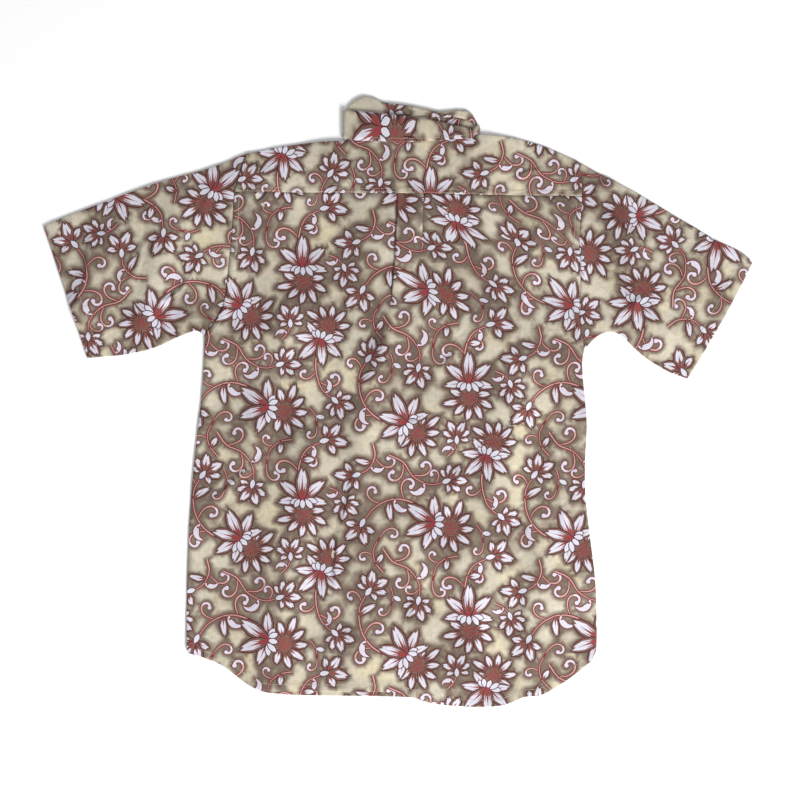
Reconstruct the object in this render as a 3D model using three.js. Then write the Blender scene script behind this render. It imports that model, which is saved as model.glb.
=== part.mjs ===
// A short-sleeved floral shirt, buttoned and laid flat on its front, so that its back shows.
// Millimetres. +X is to the right as seen from above, +Y is towards the collar and +Z is up.
// The origin is on the floor, under the middle of the garment's box.
import * as THREE from 'three';

// Driving sizes.
const wall = 1.2; // cloth wall
const half = wall / 2;
const gap = 0.3; // between pieces at a seam and between layers
const pitch = wall + gap; // one layer to the next, middle to middle
const armholeStep = 0.45; // sleeve head clear of the body, along X
const buttonThick = 2.1;
const buttonLift = buttonThick + gap; // how far the buttons hold the front edges off the floor
const lapHalf = 17; // each front edge passes the centre by this much
const foldCurl = 0.87; // how far a fold's outer points stand out, of its radius

const lerp = (a, b, t) => a + (b - a) * t;
const clamp01 = (t) => Math.min(1, Math.max(0, t));
const smooth = (t) => clamp01(t) ** 2 * (3 - 2 * clamp01(t));
// 1 up to the flat distance, 0 from the foot distance on.
const plateau = (distance, flat, foot) => 1 - smooth((distance - flat) / (foot - flat));

// A table with named columns, read by straight lines between its rows.
const table = (names, ...rows) => rows.map((row) => {
  const entries = names.split(' ').map((name, i) => [name, row[i]]);
  return Object.fromEntries(entries);
});

function read(rows, from, to, at) {
  const rising = rows[rows.length - 1][from] > rows[0][from];
  const sorted = rising ? rows : [...rows].reverse();
  if (at <= sorted[0][from]) return sorted[0][to];
  for (let i = 1; i < sorted.length; i += 1) {
    const a = sorted[i - 1];
    const b = sorted[i];
    if (at <= b[from]) return lerp(a[to], b[to], (at - a[from]) / (b[from] - a[from]));
  }
  return sorted[sorted.length - 1][to];
}

// Armhole seams from the shoulder fold to the underarm, then the side seams to the hem corner.
// The first ten rows are shared by the body, the yoke and the sleeves.
const leftEdge = table('y x',
  [337.6, -209], [322, -214], [305, -219], [287, -224], [255, -226], [223, -228], [191, -231.5],
  [159, -235], [127, -241.5], [91, -265], [24, -268], [-58, -277], [-157, -285.6],
  [-272, -289.6], [-336, -289.6], [-344, -287.6]);
const rightEdge = table('y x',
  [326.6, 246], [312, 249], [297, 250], [281, 251], [250, 249], [219, 247], [188, 249],
  [157, 248.5], [118, 247], [73, 254], [50, 251.4], [-30, 257.5], [-75, 255.5], [-124, 255.5],
  [-173, 260.5], [-239, 268.6], [-288, 270.9], [-340, 270.6], [-353, 266.6]);
const armholeRows = 10;
const yokeSeamRow = 3; // back seam of the yoke
const frontSeamRow = 2; // front seam of the yoke

// Shirt-tail hems.
const backHem = table('x y',
  [-287.6, -344], [-262, -352], [-240, -362], [-200, -391], [-178, -396], [-60, -397], [0, -398],
  [20, -404.5], [45, -412.5], [84, -417], [128, -417.4], [150, -413.5], [172, -404.5],
  [194, -402], [216, -391], [238, -376], [266.6, -353]);
const frontHem = table('x y',
  [-286, -339], [-262, -347], [-240, -359], [-200, -391], [-178, -399], [-113, -402.6], [0, -404],
  [62, -408], [128, -409], [172, -398], [216, -384], [238, -369], [265, -347]);

// Sleeve outlines, from the armhole to the cuff.
const leftSleeveTop = table('t x y',
  [0, -209, 337.6], [0.18, -258, 318.6], [0.4, -318.5, 302], [0.57, -366.5, 285.6],
  [0.72, -410, 269], [0.9, -462, 249.6], [1, -485, 238]);
const leftSleeveUnder = table('t x y',
  [0, -265, 91], [0.08, -276, 98], [0.2, -298, 91], [0.42, -332, 76], [0.7, -376, 65], [1, -426, 61]);
const rightSleeveTop = table('t x y',
  [0, 246, 326.6], [0.18, 291, 302], [0.32, 323, 285.6], [0.55, 379, 252.6], [0.78, 435, 219.6],
  [0.92, 468, 203.6], [1, 484.5, 190]);
const rightSleeveUnder = table('t x y',
  [0, 254, 73], [0.14, 273, 91], [0.24, 290, 96.4], [0.34, 305, 91.4], [0.47, 323, 74.4],
  [0.6, 342, 58.4], [0.8, 371, 41.4], [1, 396, 32.4]);

// The centre line leans a little, and the pleat's ridge wanders down the back.
const centreLine = table('y x', [357, 17], [-400, -10]);
const pleatWidth = 34.3;
const pleatLine = table('y x depth open',
  [285, -0.7, 15, 0], [220, -3, 9, 0], [170, -6, 4, 0], [140, -9, 2, 0],
  [105, -20, 2, 1], [60, -42, 2, 1], [-10, -66, 2, 1],
  [-120, -70, 2, 1], [-240, -66, 2, 1], [-320, -76, 2, 1], [-400, -76, 2, 1]);

// The collar ring, a row for each section from the wearer's left round to the right.
// neck: lower edge of the stand, seam: stand to leaf, fold: top of the roll, edge: the leaf's edge.
const collarBack = table('x neck seam fold edge',
  [-73.5, 357.6, 391, 397.5, 358.8], [-62, 361, 391, 397.5, 356.5], [-10, 362, 386, 392, 354.5],
  [18, 361, 383, 389, 354], [50, 361, 378, 384, 355], [80, 362, 370, 376.5, 358],
  [104, 363, 367, 372.5, 360], [108.6, 366, 371, 378, 368.5]);
const collarFront = table('x neck seam fold edge',
  [-73.5, 357.6, 391, 397.5, 358.8], [-62, 351, 387, 411, 352], [-48, 350.9, 387, 418, 345],
  [-33, 351.7, 387, 415.5, 338], [-22, 352.3, 387, 409.5, 333], [17, 354.3, 389, 404.5, 322],
  [56, 356.3, 388.5, 396, 334], [82, 357.6, 388, 399, 350], [96, 358.3, 384, 397.5, 362],
  [104, 362, 378, 389.5, 366], [108.6, 366, 371, 378, 368.5]);
const collarPointSpread = 26; // each collar point stands this far from the centre line
const spreadReach = 60; // and the leaf's ends swing out from here on
const standLap = 12; // the stand's ends pass the centre by this much
const neckCorner = table('side seamX seamY neckX neckY',
  [-1, -62, 325, -60, 350.1], [1, 98, 333.5, 96, 358]);

// Soft creases of the upper layers: from one point to another, half width and height.
const creases = table('x1 y1 x2 y2 reach height',
  [-196, 282, -150, 90, 34, 3.2], [-150, 120, -205, -60, 40, 3.0], [-120, -60, -170, -330, 42, 3.4],
  [110, 250, 150, 60, 40, 3.2], [170, 40, 120, -190, 44, 3.6], [70, -120, 110, -370, 42, 3.2],
  [205, -150, 180, -350, 36, 2.6], [-20, 60, 60, -120, 40, 2.6], [-215, 318, -170, 300, 24, 2.2],
  [140, 330, 215, 300, 26, 2.4], [-300, 270, -350, 110, 34, 3.4], [-395, 220, -440, 120, 30, 2.4],
  [302, 240, 360, 90, 34, 3.6], [285, 290, 330, 215, 26, 2.8], [400, 190, 395, 90, 28, 2.4]);

function distanceToLine(x, y, row) {
  const dx = row.x2 - row.x1;
  const dy = row.y2 - row.y1;
  const t = clamp01(((x - row.x1) * dx + (y - row.y1) * dy) / (dx * dx + dy * dy));
  return Math.hypot(x - row.x1 - t * dx, y - row.y1 - t * dy);
}

const creaseHeight = (x, y) => creases.reduce(
  (sum, row) => sum + row.height * plateau(distanceToLine(x, y, row), 0, row.reach), 0);

// Heights of the wall's middle.
const centreX = (y) => read(centreLine, 'y', 'x', y);
const aboveButtons = (y) => smooth((y + 330) / 150);
const collarZone = (x, y, spread) => {
  const across = plateau(Math.abs(x - 17), 97 + spread / 4, 140 + spread);
  const along = smooth((y - 288 + spread) / 32);
  return across * along;
};
const frontLift = (x, y) => buttonLift * Math.max(
  plateau(Math.abs(x - centreX(y)), 24, 60) * aboveButtons(y), collarZone(x, y, 0));
const frontZ = (x, y) => half + frontLift(x, y);
const lapZ = (x, y) => frontZ(x, y) + pitch * plateau(x - centreX(y), 26, 60);

const upperZ = (x, y) => {
  const lap = plateau(Math.abs(x - centreX(y)), 36, 110);
  const buttons = buttonLift * aboveButtons(y) + pitch;
  const under = Math.max(lap * buttons, buttonLift * collarZone(x, y, 24));
  return half + pitch + under + creaseHeight(x, y);
};

// A patch between four edges given as plan points, with its fractions across and along.
function patch(top, bottom, left, right) {
  const columns = top.length - 1;
  const rows = left.length - 1;
  const grid = [];
  for (let i = 0; i <= columns; i += 1) {
    const u = (top[i].x - top[0].x + top[0].y - top[i].y)
      / (top[columns].x - top[0].x + top[0].y - top[columns].y);
    const column = [];
    for (let j = 0; j <= rows; j += 1) {
      const v = (left[0].y - left[j].y + left[j].x - left[0].x)
        / (left[0].y - left[rows].y + left[rows].x - left[0].x);
      const at = (key) => lerp(top[i][key], bottom[i][key], v) + lerp(left[j][key], right[j][key], u)
        - lerp(lerp(top[0][key], top[columns][key], u), lerp(bottom[0][key], bottom[columns][key], u), v);
      column.push({ x: at('x'), y: at('y') });
    }
    grid.push(column);
  }
  return grid;
}

const stations = (count) => Array.from({ length: count + 1 }, (_, i) => i / count);
const linePoints = (from, to, fractions) => fractions.map((t) => ({
  x: lerp(from.x, to.x, t), y: lerp(from.y, to.y, t),
}));

// A closed wall round the middle points of a grid; a ring is joined to itself across its columns.
function cloth(name, grid, ring, material) {
  const columns = grid.length;
  const rows = grid[0].length;
  const point = (i, j) => grid[(i + columns) % columns][j];
  const direction = (before, here, after) => {
    const sum = new THREE.Vector3();
    if (before) sum.add(here.clone().sub(before).normalize());
    if (after) sum.add(after.clone().sub(here).normalize());
    return sum.normalize();
  };
  const positions = [];
  for (const side of [1, -1]) {
    for (let i = 0; i < columns; i += 1) {
      for (let j = 0; j < rows; j += 1) {
        const here = point(i, j);
        const across = direction((ring || i > 0) && point(i - 1, j), here,
          (ring || i < columns - 1) && point(i + 1, j));
        const along = direction(j > 0 && point(i, j - 1), here, j < rows - 1 && point(i, j + 1));
        const normal = across.cross(along).normalize();
        positions.push(...here.clone().addScaledVector(normal, side * half).toArray());
      }
    }
  }
  const outer = (i, j) => (i % columns) * rows + j;
  const inner = (i, j) => columns * rows + outer(i, j);
  const faces = [];
  const quad = (a, b, c, d) => faces.push(a, b, c, a, c, d);
  const spans = ring ? columns : columns - 1;
  for (let i = 0; i < spans; i += 1) {
    for (let j = 0; j < rows - 1; j += 1) {
      quad(outer(i, j), outer(i + 1, j), outer(i + 1, j + 1), outer(i, j + 1));
      quad(inner(i, j), inner(i, j + 1), inner(i + 1, j + 1), inner(i + 1, j));
    }
    quad(outer(i + 1, 0), outer(i, 0), inner(i, 0), inner(i + 1, 0));
    quad(outer(i, rows - 1), outer(i + 1, rows - 1), inner(i + 1, rows - 1), inner(i, rows - 1));
  }
  for (let j = 0; j < rows - 1 && !ring; j += 1) {
    quad(outer(0, j), outer(0, j + 1), inner(0, j + 1), inner(0, j));
    const last = columns - 1;
    quad(outer(last, j + 1), outer(last, j), inner(last, j), inner(last, j + 1));
  }
  const geometry = new THREE.BufferGeometry();
  geometry.setAttribute('position', new THREE.Float32BufferAttribute(positions, 3));
  geometry.setIndex(turnOutwards(positions, faces));
  geometry.computeVertexNormals();
  const mesh = new THREE.Mesh(geometry, material);
  mesh.name = name;
  return mesh;
}

// Faces are reversed where the wall came out with a negative volume.
function turnOutwards(positions, faces) {
  const at = (k) => new THREE.Vector3().fromArray(positions, 3 * k);
  let volume = 0;
  for (let f = 0; f < faces.length; f += 3) {
    volume += at(faces[f]).dot(at(faces[f + 1]).cross(at(faces[f + 2])));
  }
  return volume > 0 ? faces : [...faces].reverse();
}

const raise = (grid, heightAt) => grid.map((column) => column.map(
  ({ x, y }) => new THREE.Vector3(x, y, heightAt(x, y))));

const print = new THREE.MeshStandardMaterial({ color: 0xa89584, roughness: 0.9 });
const shell = new THREE.MeshStandardMaterial({ color: 0xb9a18a, roughness: 0.35 });

// Edge of a body panel: the armhole nodes from one row on, then the side seam down to the hem corner.
function panelSide(edge, firstRow, sideRows, inset) {
  const armhole = edge.slice(firstRow, armholeRows).map(({ x, y }) => ({ x: x - inset, y }));
  const underarm = edge[armholeRows - 1].y;
  const corner = edge[edge.length - 1].y;
  const side = stations(sideRows).slice(1).map((t) => {
    const y = lerp(underarm, corner, t);
    return { x: read(edge, 'y', 'x', y) - inset, y };
  });
  return [...armhole, ...side];
}

const downLine = (fractions, from, to, xAt) => fractions.map((t) => {
  const y = lerp(from, to, t);
  return { x: xAt(y), y };
});
const fractionsOf = (side) => side.map(({ y }) => (side[0].y - y) / (side[0].y - side[side.length - 1].y));
const hemPoints = (hem, from, to, fractions) => fractions.map((t) => {
  const x = lerp(from, to, t);
  return { x, y: read(hem, 'x', 'y', x) };
});

// Back: two plain stretches with the box pleat between them. Down to the opening row the pleat
// is three real layers each side, and below it the same cloth runs out as one soft ridge.
const backSideRows = 14;
const backColumns = 10;
const pleatApproach = 6;
const ridgeReach = 16;
const pleatSections = table('x fromRight depth layer curl',
  [-pleatApproach, 0, 0, 0, 0], [0, 0, 1, 0, 0], [0, 0, 1, 0.5, 0.65], [0, 0, 1, 1, 0], [0, 0, 0, 1, 0],
  [0, 0, 0, 1.5, -0.65], [0, 0, 0, 2, 0]);

function pleatColumn(section, index, y, mirrored) {
  const depth = read(pleatLine, 'y', 'depth', y);
  const open = read(pleatLine, 'y', 'open', y);
  const folded = section.x + section.depth * depth + section.curl;
  const spread = lerp(-ridgeReach, pleatWidth / 2 - 1, index / (pleatSections.length - 0.5));
  const lift = 2 * smooth(index / (pleatSections.length - 1));
  const across = lerp(folded, spread, open);
  const left = read(pleatLine, 'y', 'x', y);
  return {
    x: mirrored ? left + pleatWidth - across : left + across,
    layer: lerp(section.layer, lift, open),
  };
}

function makeBack() {
  const left = panelSide(leftEdge, yokeSeamRow, backSideRows, 0);
  const right = panelSide(rightEdge, yokeSeamRow, backSideRows, 0);
  const fractions = fractionsOf(left);
  const seamY = (x) => lerp(left[0].y, right[0].y, (x - left[0].x) / (right[0].x - left[0].x));
  const edgeOfPleat = (mirrored) => {
    const xAt = (y) => pleatColumn(pleatSections[0], 0, y, mirrored).x;
    const top = seamY(xAt(left[0].y));
    const bottom = read(backHem, 'x', 'y', xAt(-390));
    return downLine(fractions, top, bottom, xAt);
  };
  const pleatLeft = edgeOfPleat(false);
  const pleatRight = edgeOfPleat(true);
  const last = fractions.length - 1;
  const plain = (from, to, sideA, sideB) => patch(
    linePoints(from[0], to[0], stations(backColumns)),
    hemPoints(backHem, from[last].x, to[last].x, stations(backColumns)), sideA, sideB);
  const grid = raise(plain(left, pleatLeft, left, pleatLeft), upperZ);
  const middleY = (j, x) => {
    const t = (x - pleatLeft[j].x) / (pleatRight[j].x - pleatLeft[j].x);
    return lerp(pleatLeft[j].y, pleatRight[j].y, t);
  };
  for (const mirrored of [false, true]) {
    const order = pleatSections.map((section, index) => ({ section, index })).slice(1);
    if (mirrored) order.reverse();
    for (const { section, index } of order) {
      grid.push(fractions.map((_, j) => {
        const { x, layer } = pleatColumn(section, index, pleatLeft[j].y, mirrored);
        const y = middleY(j, x);
        return new THREE.Vector3(x, y, upperZ(x, y) + layer * pitch);
      }));
    }
  }
  grid.push(...raise(plain(pleatRight, right, pleatRight, right), upperZ));
  return cloth('back', grid, false, print);
}

// Fronts: flat on the floor but for the raised button edge and the neck, which lies on the collar.
const frontSideRows = 13;
const frontColumns = { plain: 7, neck: 6 };
const sideInset = 1.5; // the fronts' side seams lie this far inside the back's

function makeFront(name, side) {
  const edge = side < 0 ? leftEdge : rightEdge;
  const outerSide = panelSide(edge, frontSeamRow, frontSideRows, side * sideInset);
  outerSide.forEach((node, row) => {
    if (row < armholeRows - frontSeamRow) node.x += side * sideInset;
  });
  const corner = neckCorner.find((row) => row.side === side);
  const lapX = (y) => centreX(y) - side * lapHalf;
  const neckY = (x) => lerp(neckCorner[0].neckY, neckCorner[1].neckY,
    (x - neckCorner[0].neckX) / (neckCorner[1].neckX - neckCorner[0].neckX));
  const lapTop = { x: lapX(355), y: neckY(lapX(355)) };
  const seam = linePoints(
    { x: outerSide[0].x, y: outerSide[0].y - gap },
    { x: corner.seamX, y: corner.seamY - gap }, stations(frontColumns.plain));
  outerSide[0].y -= gap;
  const neck = linePoints({ x: corner.neckX, y: neckY(corner.neckX) }, lapTop, stations(frontColumns.neck));
  const top = [...seam, ...neck];
  const across = top.map(({ x }) => (x - top[0].x) / (lapTop.x - top[0].x));
  const last = outerSide[outerSide.length - 1];
  last.y = read(frontHem, 'x', 'y', last.x);
  const hemX = lapX(-400);
  const lapEdge = downLine(fractionsOf(outerSide), lapTop.y, read(frontHem, 'x', 'y', hemX), lapX);
  const grid = patch(top, hemPoints(frontHem, last.x, hemX, across), outerSide, lapEdge);
  return cloth(name, raise(grid, side < 0 ? frontZ : lapZ), false, print);
}

// Points that carry the wall round a fold, between a lower and an upper point, curling outwards.
function foldPoints(lower, upper, outward) {
  const radius = (upper.z - lower.z) / 2;
  return [0.25, 0.75].map((t) => lower.clone().lerp(upper, t)
    .addScaledVector(outward, radius * foldCurl));
}

// Yoke: rays from the neck edge outwards, under one shoulder, over the back and under the other.
const yokeSteps = 6;
const seamStations = 12;
const yokeBow = { left: 3.6, right: 9.4 }; // each shoulder fold rises above a straight line
const neckFoldRoom = 2;

// The yoke's neck edge lies a seam's gap below the stand, and its two ends leave room for the folds.
function neckNodes(count) {
  const first = collarBack[0].x;
  const last = collarBack[collarBack.length - 1].x;
  return stations(count - 1).map((t, k) => {
    const x = lerp(first, last, t);
    const atFold = k === 0 || k === count - 1;
    return { x, y: read(collarBack, 'x', 'neck', x) - gap - (atFold ? neckFoldRoom : 0) };
  });
}

const armholeNodes = (edge, from, to) => edge.slice(from, to).map(({ x, y }) => ({ x, y }));
const upperRays = 2 * (yokeSeamRow + 1) + seamStations - 1;

function makeYoke() {
  const leftDown = armholeNodes(leftEdge, 0, yokeSeamRow + 1);
  const rightUp = armholeNodes(rightEdge, 0, yokeSeamRow + 1).reverse();
  leftDown[yokeSeamRow].y += gap;
  rightUp[0].y += gap;
  const seam = linePoints(leftDown[yokeSeamRow], rightUp[0], stations(seamStations)).slice(1, -1);
  const outside = [...leftDown, ...seam, ...rightUp];
  const inside = neckNodes(outside.length);
  const ray = (from, to, bow, heightAt) => stations(yokeSteps).map((t) => {
    const x = lerp(from.x, to.x, t);
    const y = lerp(from.y, to.y, t) + bow * 4 * t * (1 - t);
    return new THREE.Vector3(x, y, heightAt(x, y));
  });
  const bowAt = (k) => yokeBow.left * clamp01(1 - k / 2)
    + yokeBow.right * clamp01(1 - (outside.length - 1 - k) / 2);
  const upper = outside.map((node, k) => ray(inside[k], node, bowAt(k), upperZ));
  const under = (edge, neck, corner, bow) => stations(frontSeamRow).map((t, k) => ray(
    { x: lerp(neck.x, corner.seamX, t), y: lerp(neck.y, corner.seamY, t) },
    edge[k], bow * (1 - t), frontZ));
  const leftUnder = under(leftEdge, inside[0], neckCorner[0], yokeBow.left);
  const rightUnder = under(rightEdge, inside[inside.length - 1], neckCorner[1], yokeBow.right);
  const outward = new THREE.Vector3(0, 1, 0);
  const fold = (low, high) => {
    const pairs = low.map((point, i) => foldPoints(point, high[i], outward));
    return [pairs.map(([a]) => a), pairs.map(([, b]) => b)];
  };
  const grid = [
    ...leftUnder.reverse(), ...fold(leftUnder[leftUnder.length - 1], upper[0]), ...upper,
    ...fold(rightUnder[0], upper[upper.length - 1]).reverse(), ...rightUnder,
  ];
  return cloth('yoke', grid, false, print);
}

// Sleeves: flattened tubes from the armhole nodes to the cuff.
const sleeveSteps = 10;
const cuffBow = { sleeve_left: 0, sleeve_right: 3 };

function makeSleeve(name, side) {
  const edge = side < 0 ? leftEdge : rightEdge;
  const top = side < 0 ? leftSleeveTop : rightSleeveTop;
  const under = side < 0 ? leftSleeveUnder : rightSleeveUnder;
  const head = armholeNodes(edge, 0, armholeRows);
  head.forEach((node) => {
    node.x += side * armholeStep;
  });
  const outline = (rows) => stations(sleeveSteps).map((t) => ({
    x: read(rows, 't', 'x', t) + side * armholeStep * (1 - t), y: read(rows, 't', 'y', t),
  }));
  const topLine = outline(top);
  const underLine = outline(under);
  const across = fractionsOf(head);
  const cuff = linePoints(topLine[sleeveSteps], underLine[sleeveSteps], across);
  cuff.forEach((node, i) => {
    node.x += cuffBow[name] * 4 * across[i] * (1 - across[i]);
  });
  const plan = across.map((u, i) => stations(sleeveSteps).map((v, j) => {
    const at = (key) => lerp(head[i][key], cuff[i][key], v) + lerp(topLine[j][key], underLine[j][key], u)
      - lerp(lerp(head[0][key], head[armholeRows - 1][key], u), lerp(cuff[0][key],
        cuff[armholeRows - 1][key], u), v);
    return { x: at('x'), y: at('y') };
  }));
  const upper = raise(plan, upperZ);
  const lower = raise(plan, frontZ);
  const curl = (i, towards) => lower[i].map((point, j) => {
    const rim = plan[i][j];
    const next = plan[towards][j];
    const outward = new THREE.Vector3(rim.x - next.x, rim.y - next.y, 0);
    return foldPoints(point, upper[i][j], outward.normalize());
  });
  const topFold = curl(0, 1);
  const underFold = curl(armholeRows - 1, armholeRows - 2);
  const grid = [
    ...upper, underFold.map(([, b]) => b), underFold.map(([a]) => a),
    ...lower.reverse(), topFold.map(([a]) => a), topFold.map(([, b]) => b),
  ];
  return cloth(name, grid, true, print);
}

// The collar ring's sections, from the buttonhole end at the front, round the back to the button end.
// out turns from down under the front, past the side, to up over the back.
const frontSections = 9;
const leafPart = 0.4; // the leaf's ends stand this far from the centre line
const leafEase = 0.3; // over the yoke the leaf stands this much above the next layer

// With a lap the sections go on past the centre, one front end under the other.
function ringSections(lap) {
  const leftX = collarBack[0].x;
  const rightX = collarBack[collarBack.length - 1].x;
  const pick = (rows, x) => ({
    x,
    neck: read(rows, 'x', 'neck', x),
    seam: read(rows, 'x', 'seam', x),
    fold: read(rows, 'x', 'fold', x),
    edge: read(rows, 'x', 'edge', x),
  });
  const centre = centreX(357);
  const spread = (x) => -Math.sign(centre - x) * collarPointSpread
    * clamp01(1 - Math.abs(x - centre) / spreadReach);
  const front = (x, z) => ({
    ...pick(collarFront, x), z, out: new THREE.Vector3(0, 0, -1), reach: z - half, spread: spread(x),
  });
  const leftXs = stations(frontSections).map((t) => lerp(centre - leafPart, leftX, t));
  const rightXs = stations(frontSections).map((t) => lerp(rightX, centre + leafPart, t));
  if (lap) {
    leftXs.unshift(centre + lap);
    rightXs.push(centre - lap);
  }
  const lapped = (x) => half + buttonLift + pitch * plateau(x, centre + lapHalf, centre + 3 * lapHalf);
  const leftFront = leftXs.map((x) => front(x, half + buttonLift));
  const rightFront = rightXs.map((x) => front(x, lapped(x)));
  const back = neckNodes(upperRays).map(({ x }) => {
    const row = pick(collarBack, x);
    const layer = { z: upperZ(x, row.neck), reach: pitch + leafEase };
    return { ...row, ...layer, out: new THREE.Vector3(0, 0, 1), spread: 0, overYoke: true };
  });
  const turn = (low, high, side) => [0.25, 0.75].map((t) => {
    const angle = Math.PI * (t - 0.5);
    const radius = (high.z - low.z) / 2;
    const mix = (key) => lerp(low[key], high[key], t);
    return {
      x: low.x + side * radius * Math.cos(angle),
      z: (high.z + low.z) / 2 + radius * Math.sin(angle),
      neck: mix('neck'), seam: mix('seam'), fold: mix('fold'), edge: mix('edge'), reach: mix('reach'),
      out: new THREE.Vector3(side * Math.cos(angle), 0, Math.sin(angle)),
      spread: 0,
    };
  });
  const leftTurn = turn(leftFront[leftFront.length - 1], back[0], -1);
  const rightTurn = turn(rightFront[0], back[back.length - 1], 1).reverse();
  return [...leftFront, ...leftTurn, ...back, ...rightTurn, ...rightFront];
}

const standSteps = 3;

function makeStand() {
  const grid = ringSections(standLap).map((section) => stations(standSteps).map(
    (t) => new THREE.Vector3(section.x, lerp(section.neck, section.seam, t), section.z)));
  return cloth('collar_stand', grid, false, print);
}

const leafSteps = 3;

function makeLeaf() {
  const grid = ringSections(0).map((section) => {
    const curl = section.reach / 2 + half;
    const place = (y, out, along) => new THREE.Vector3(section.x + section.spread * along, y, section.z)
      .addScaledVector(section.out, section.reach * out);
    const fall = stations(leafSteps).map((t) => {
      const point = place(lerp(section.fold - curl, section.edge, t), 1, t);
      if (section.overYoke) point.z = Math.max(point.z, upperZ(point.x, point.y) + section.reach);
      return point;
    });
    return [
      place(section.seam + gap, 0, 0), place(section.fold - curl, 0, 0),
      place(section.fold - half - 0.1, 0.25, 0), place(section.fold - half - 0.1, 0.75, 0), ...fall,
    ];
  });
  return cloth('collar_leaf', grid, false, print);
}

// Buttons: face down on the floor, a rim round a shallow dish.
const buttonRadius = 5.7;
const buttonProfile = table('r z',
  [0, 0.6], [3.4, 0.6], [4.3, 0], [5.1, 0], [5.7, 0.7], [5.4, 1.7], [4.6, 2.1], [0, 2.1]);
const buttonSides = 14;
const buttonTop = 292;
const buttonSpacing = 88;
const buttonCount = 6;
const collarButtonY = 371;

function makeButton(name, y) {
  const profile = buttonProfile.map(({ r, z }) => new THREE.Vector2(
    (r / buttonProfile[4].r) * buttonRadius, (z / buttonProfile[6].z) * buttonThick));
  const geometry = new THREE.LatheGeometry(profile, buttonSides);
  geometry.rotateX(Math.PI / 2);
  geometry.translate(centreX(y), y, 0);
  const mesh = new THREE.Mesh(geometry, shell);
  mesh.name = name;
  return mesh;
}

const shirt = new THREE.Group();
shirt.add(makeBack());
shirt.add(makeYoke());
shirt.add(makeFront('front_left', -1));
shirt.add(makeFront('front_right', 1));
shirt.add(makeSleeve('sleeve_left', -1));
shirt.add(makeSleeve('sleeve_right', 1));
shirt.add(makeStand());
shirt.add(makeLeaf());
for (let i = 0; i < buttonCount; i += 1) {
  shirt.add(makeButton(`button_${i + 1}`, buttonTop - i * buttonSpacing));
}
shirt.add(makeButton('button_collar', collarButtonY));

export default shirt;
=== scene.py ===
# Short-sleeved floral shirt, buttoned and laid flat on its front.
# The cloth is worked out in millimetres and goes into the meshes in metres.
import math

import bpy
import bmesh
import numpy as np
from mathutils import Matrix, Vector, kdtree
from mathutils.bvhtree import BVHTree
from mathutils.geometry import delaunay_2d_cdt


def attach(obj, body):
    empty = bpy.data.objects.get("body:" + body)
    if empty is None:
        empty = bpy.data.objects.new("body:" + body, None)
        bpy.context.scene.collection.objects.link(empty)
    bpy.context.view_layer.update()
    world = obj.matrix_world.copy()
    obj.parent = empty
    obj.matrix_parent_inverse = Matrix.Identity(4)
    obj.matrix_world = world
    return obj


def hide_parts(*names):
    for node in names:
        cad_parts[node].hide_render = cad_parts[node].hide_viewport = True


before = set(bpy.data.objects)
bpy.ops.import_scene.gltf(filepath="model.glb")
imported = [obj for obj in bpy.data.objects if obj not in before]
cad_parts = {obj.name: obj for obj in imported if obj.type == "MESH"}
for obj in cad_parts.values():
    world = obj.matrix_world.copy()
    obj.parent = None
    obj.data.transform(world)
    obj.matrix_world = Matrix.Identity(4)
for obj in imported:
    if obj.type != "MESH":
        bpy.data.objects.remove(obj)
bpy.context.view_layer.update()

cloth = {
    "thick": 0.56,       # one layer
    "pitch": 1.5,        # from one layer to the next
    "button": 2.4,       # the buttons hold the front edges up by this much
    "gridStep": 5.8,     # between the free points of an outer side
    "innerStep": 7.5,    # between those of an inner side
    "edgeStep": 4.5,     # between the points along an edge
    "drawIn": 0.6,       # the most that an inner side keeps back under a crease
    "sink": 0.7,         # no trough is deeper
    "mainCrease": 1.3,   # gain on the broad creases
    "fineCrease": 1.9,   # gain on the finer ones
    "wobble": 1.6,       # how far a fine crease strays from its bow
    "turn": 0.8,         # half-width of a pressed fold's turn
}
fullTurn, quarterTurn = 6.283, 1.5708   # radians


def smooth(t):
    t = np.clip(t, 0.0, 1.0)
    return t * t * (3 - 2 * t)


def plateau(distance, flat, foot):
    return 1 - smooth((distance - flat) / (foot - flat))


def mix(a, b, t):
    return a + (b - a) * t


def column(rows, x, y, at):  # reads a table by straight lines between its rows
    rows = sorted(rows, key=lambda row: row[x])
    return np.interp(at, [row[x] for row in rows], [row[y] for row in rows])


# Outlines: x y from the neck down
leftEdge = [(-209, 337.6), (-214, 322), (-219, 305), (-224, 287), (-226, 255), (-228, 223), (-231.5, 191),
            (-235, 159), (-241.5, 127), (-265, 91), (-268, 24), (-277, -58), (-285.6, -157), (-289.6, -272),
            (-289.6, -336), (-287.6, -344)]
rightEdge = [(246, 326.6), (249, 312), (250, 297), (251, 281), (249, 250), (247, 219), (249, 188),
             (248.5, 157), (247, 118), (254, 73), (251.4, 50), (257.5, -30), (255.5, -75), (255.5, -124),
             (260.5, -173), (268.6, -239), (270.9, -288), (270.6, -340), (266.6, -353)]
underarm, yokeRow, frontRow = 9, 3, 2   # rows of the underarm and of the yoke's two seams
backHem = [(-287.6, -344), (-262, -352), (-240, -362), (-200, -391), (-178, -396), (-60, -397), (0, -398),
           (20, -404.5), (45, -412.5), (84, -417), (128, -417.4), (150, -413.5), (172, -404.5),
           (194, -402), (216, -391), (238, -376), (266.6, -353)]
frontHem = [(-286, -339), (-262, -347), (-240, -359), (-200, -391), (-178, -399), (-113, -402.6), (0, -404),
            (62, -408), (128, -409), (172, -398), (216, -384), (238, -369), (265, -347)]
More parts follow.
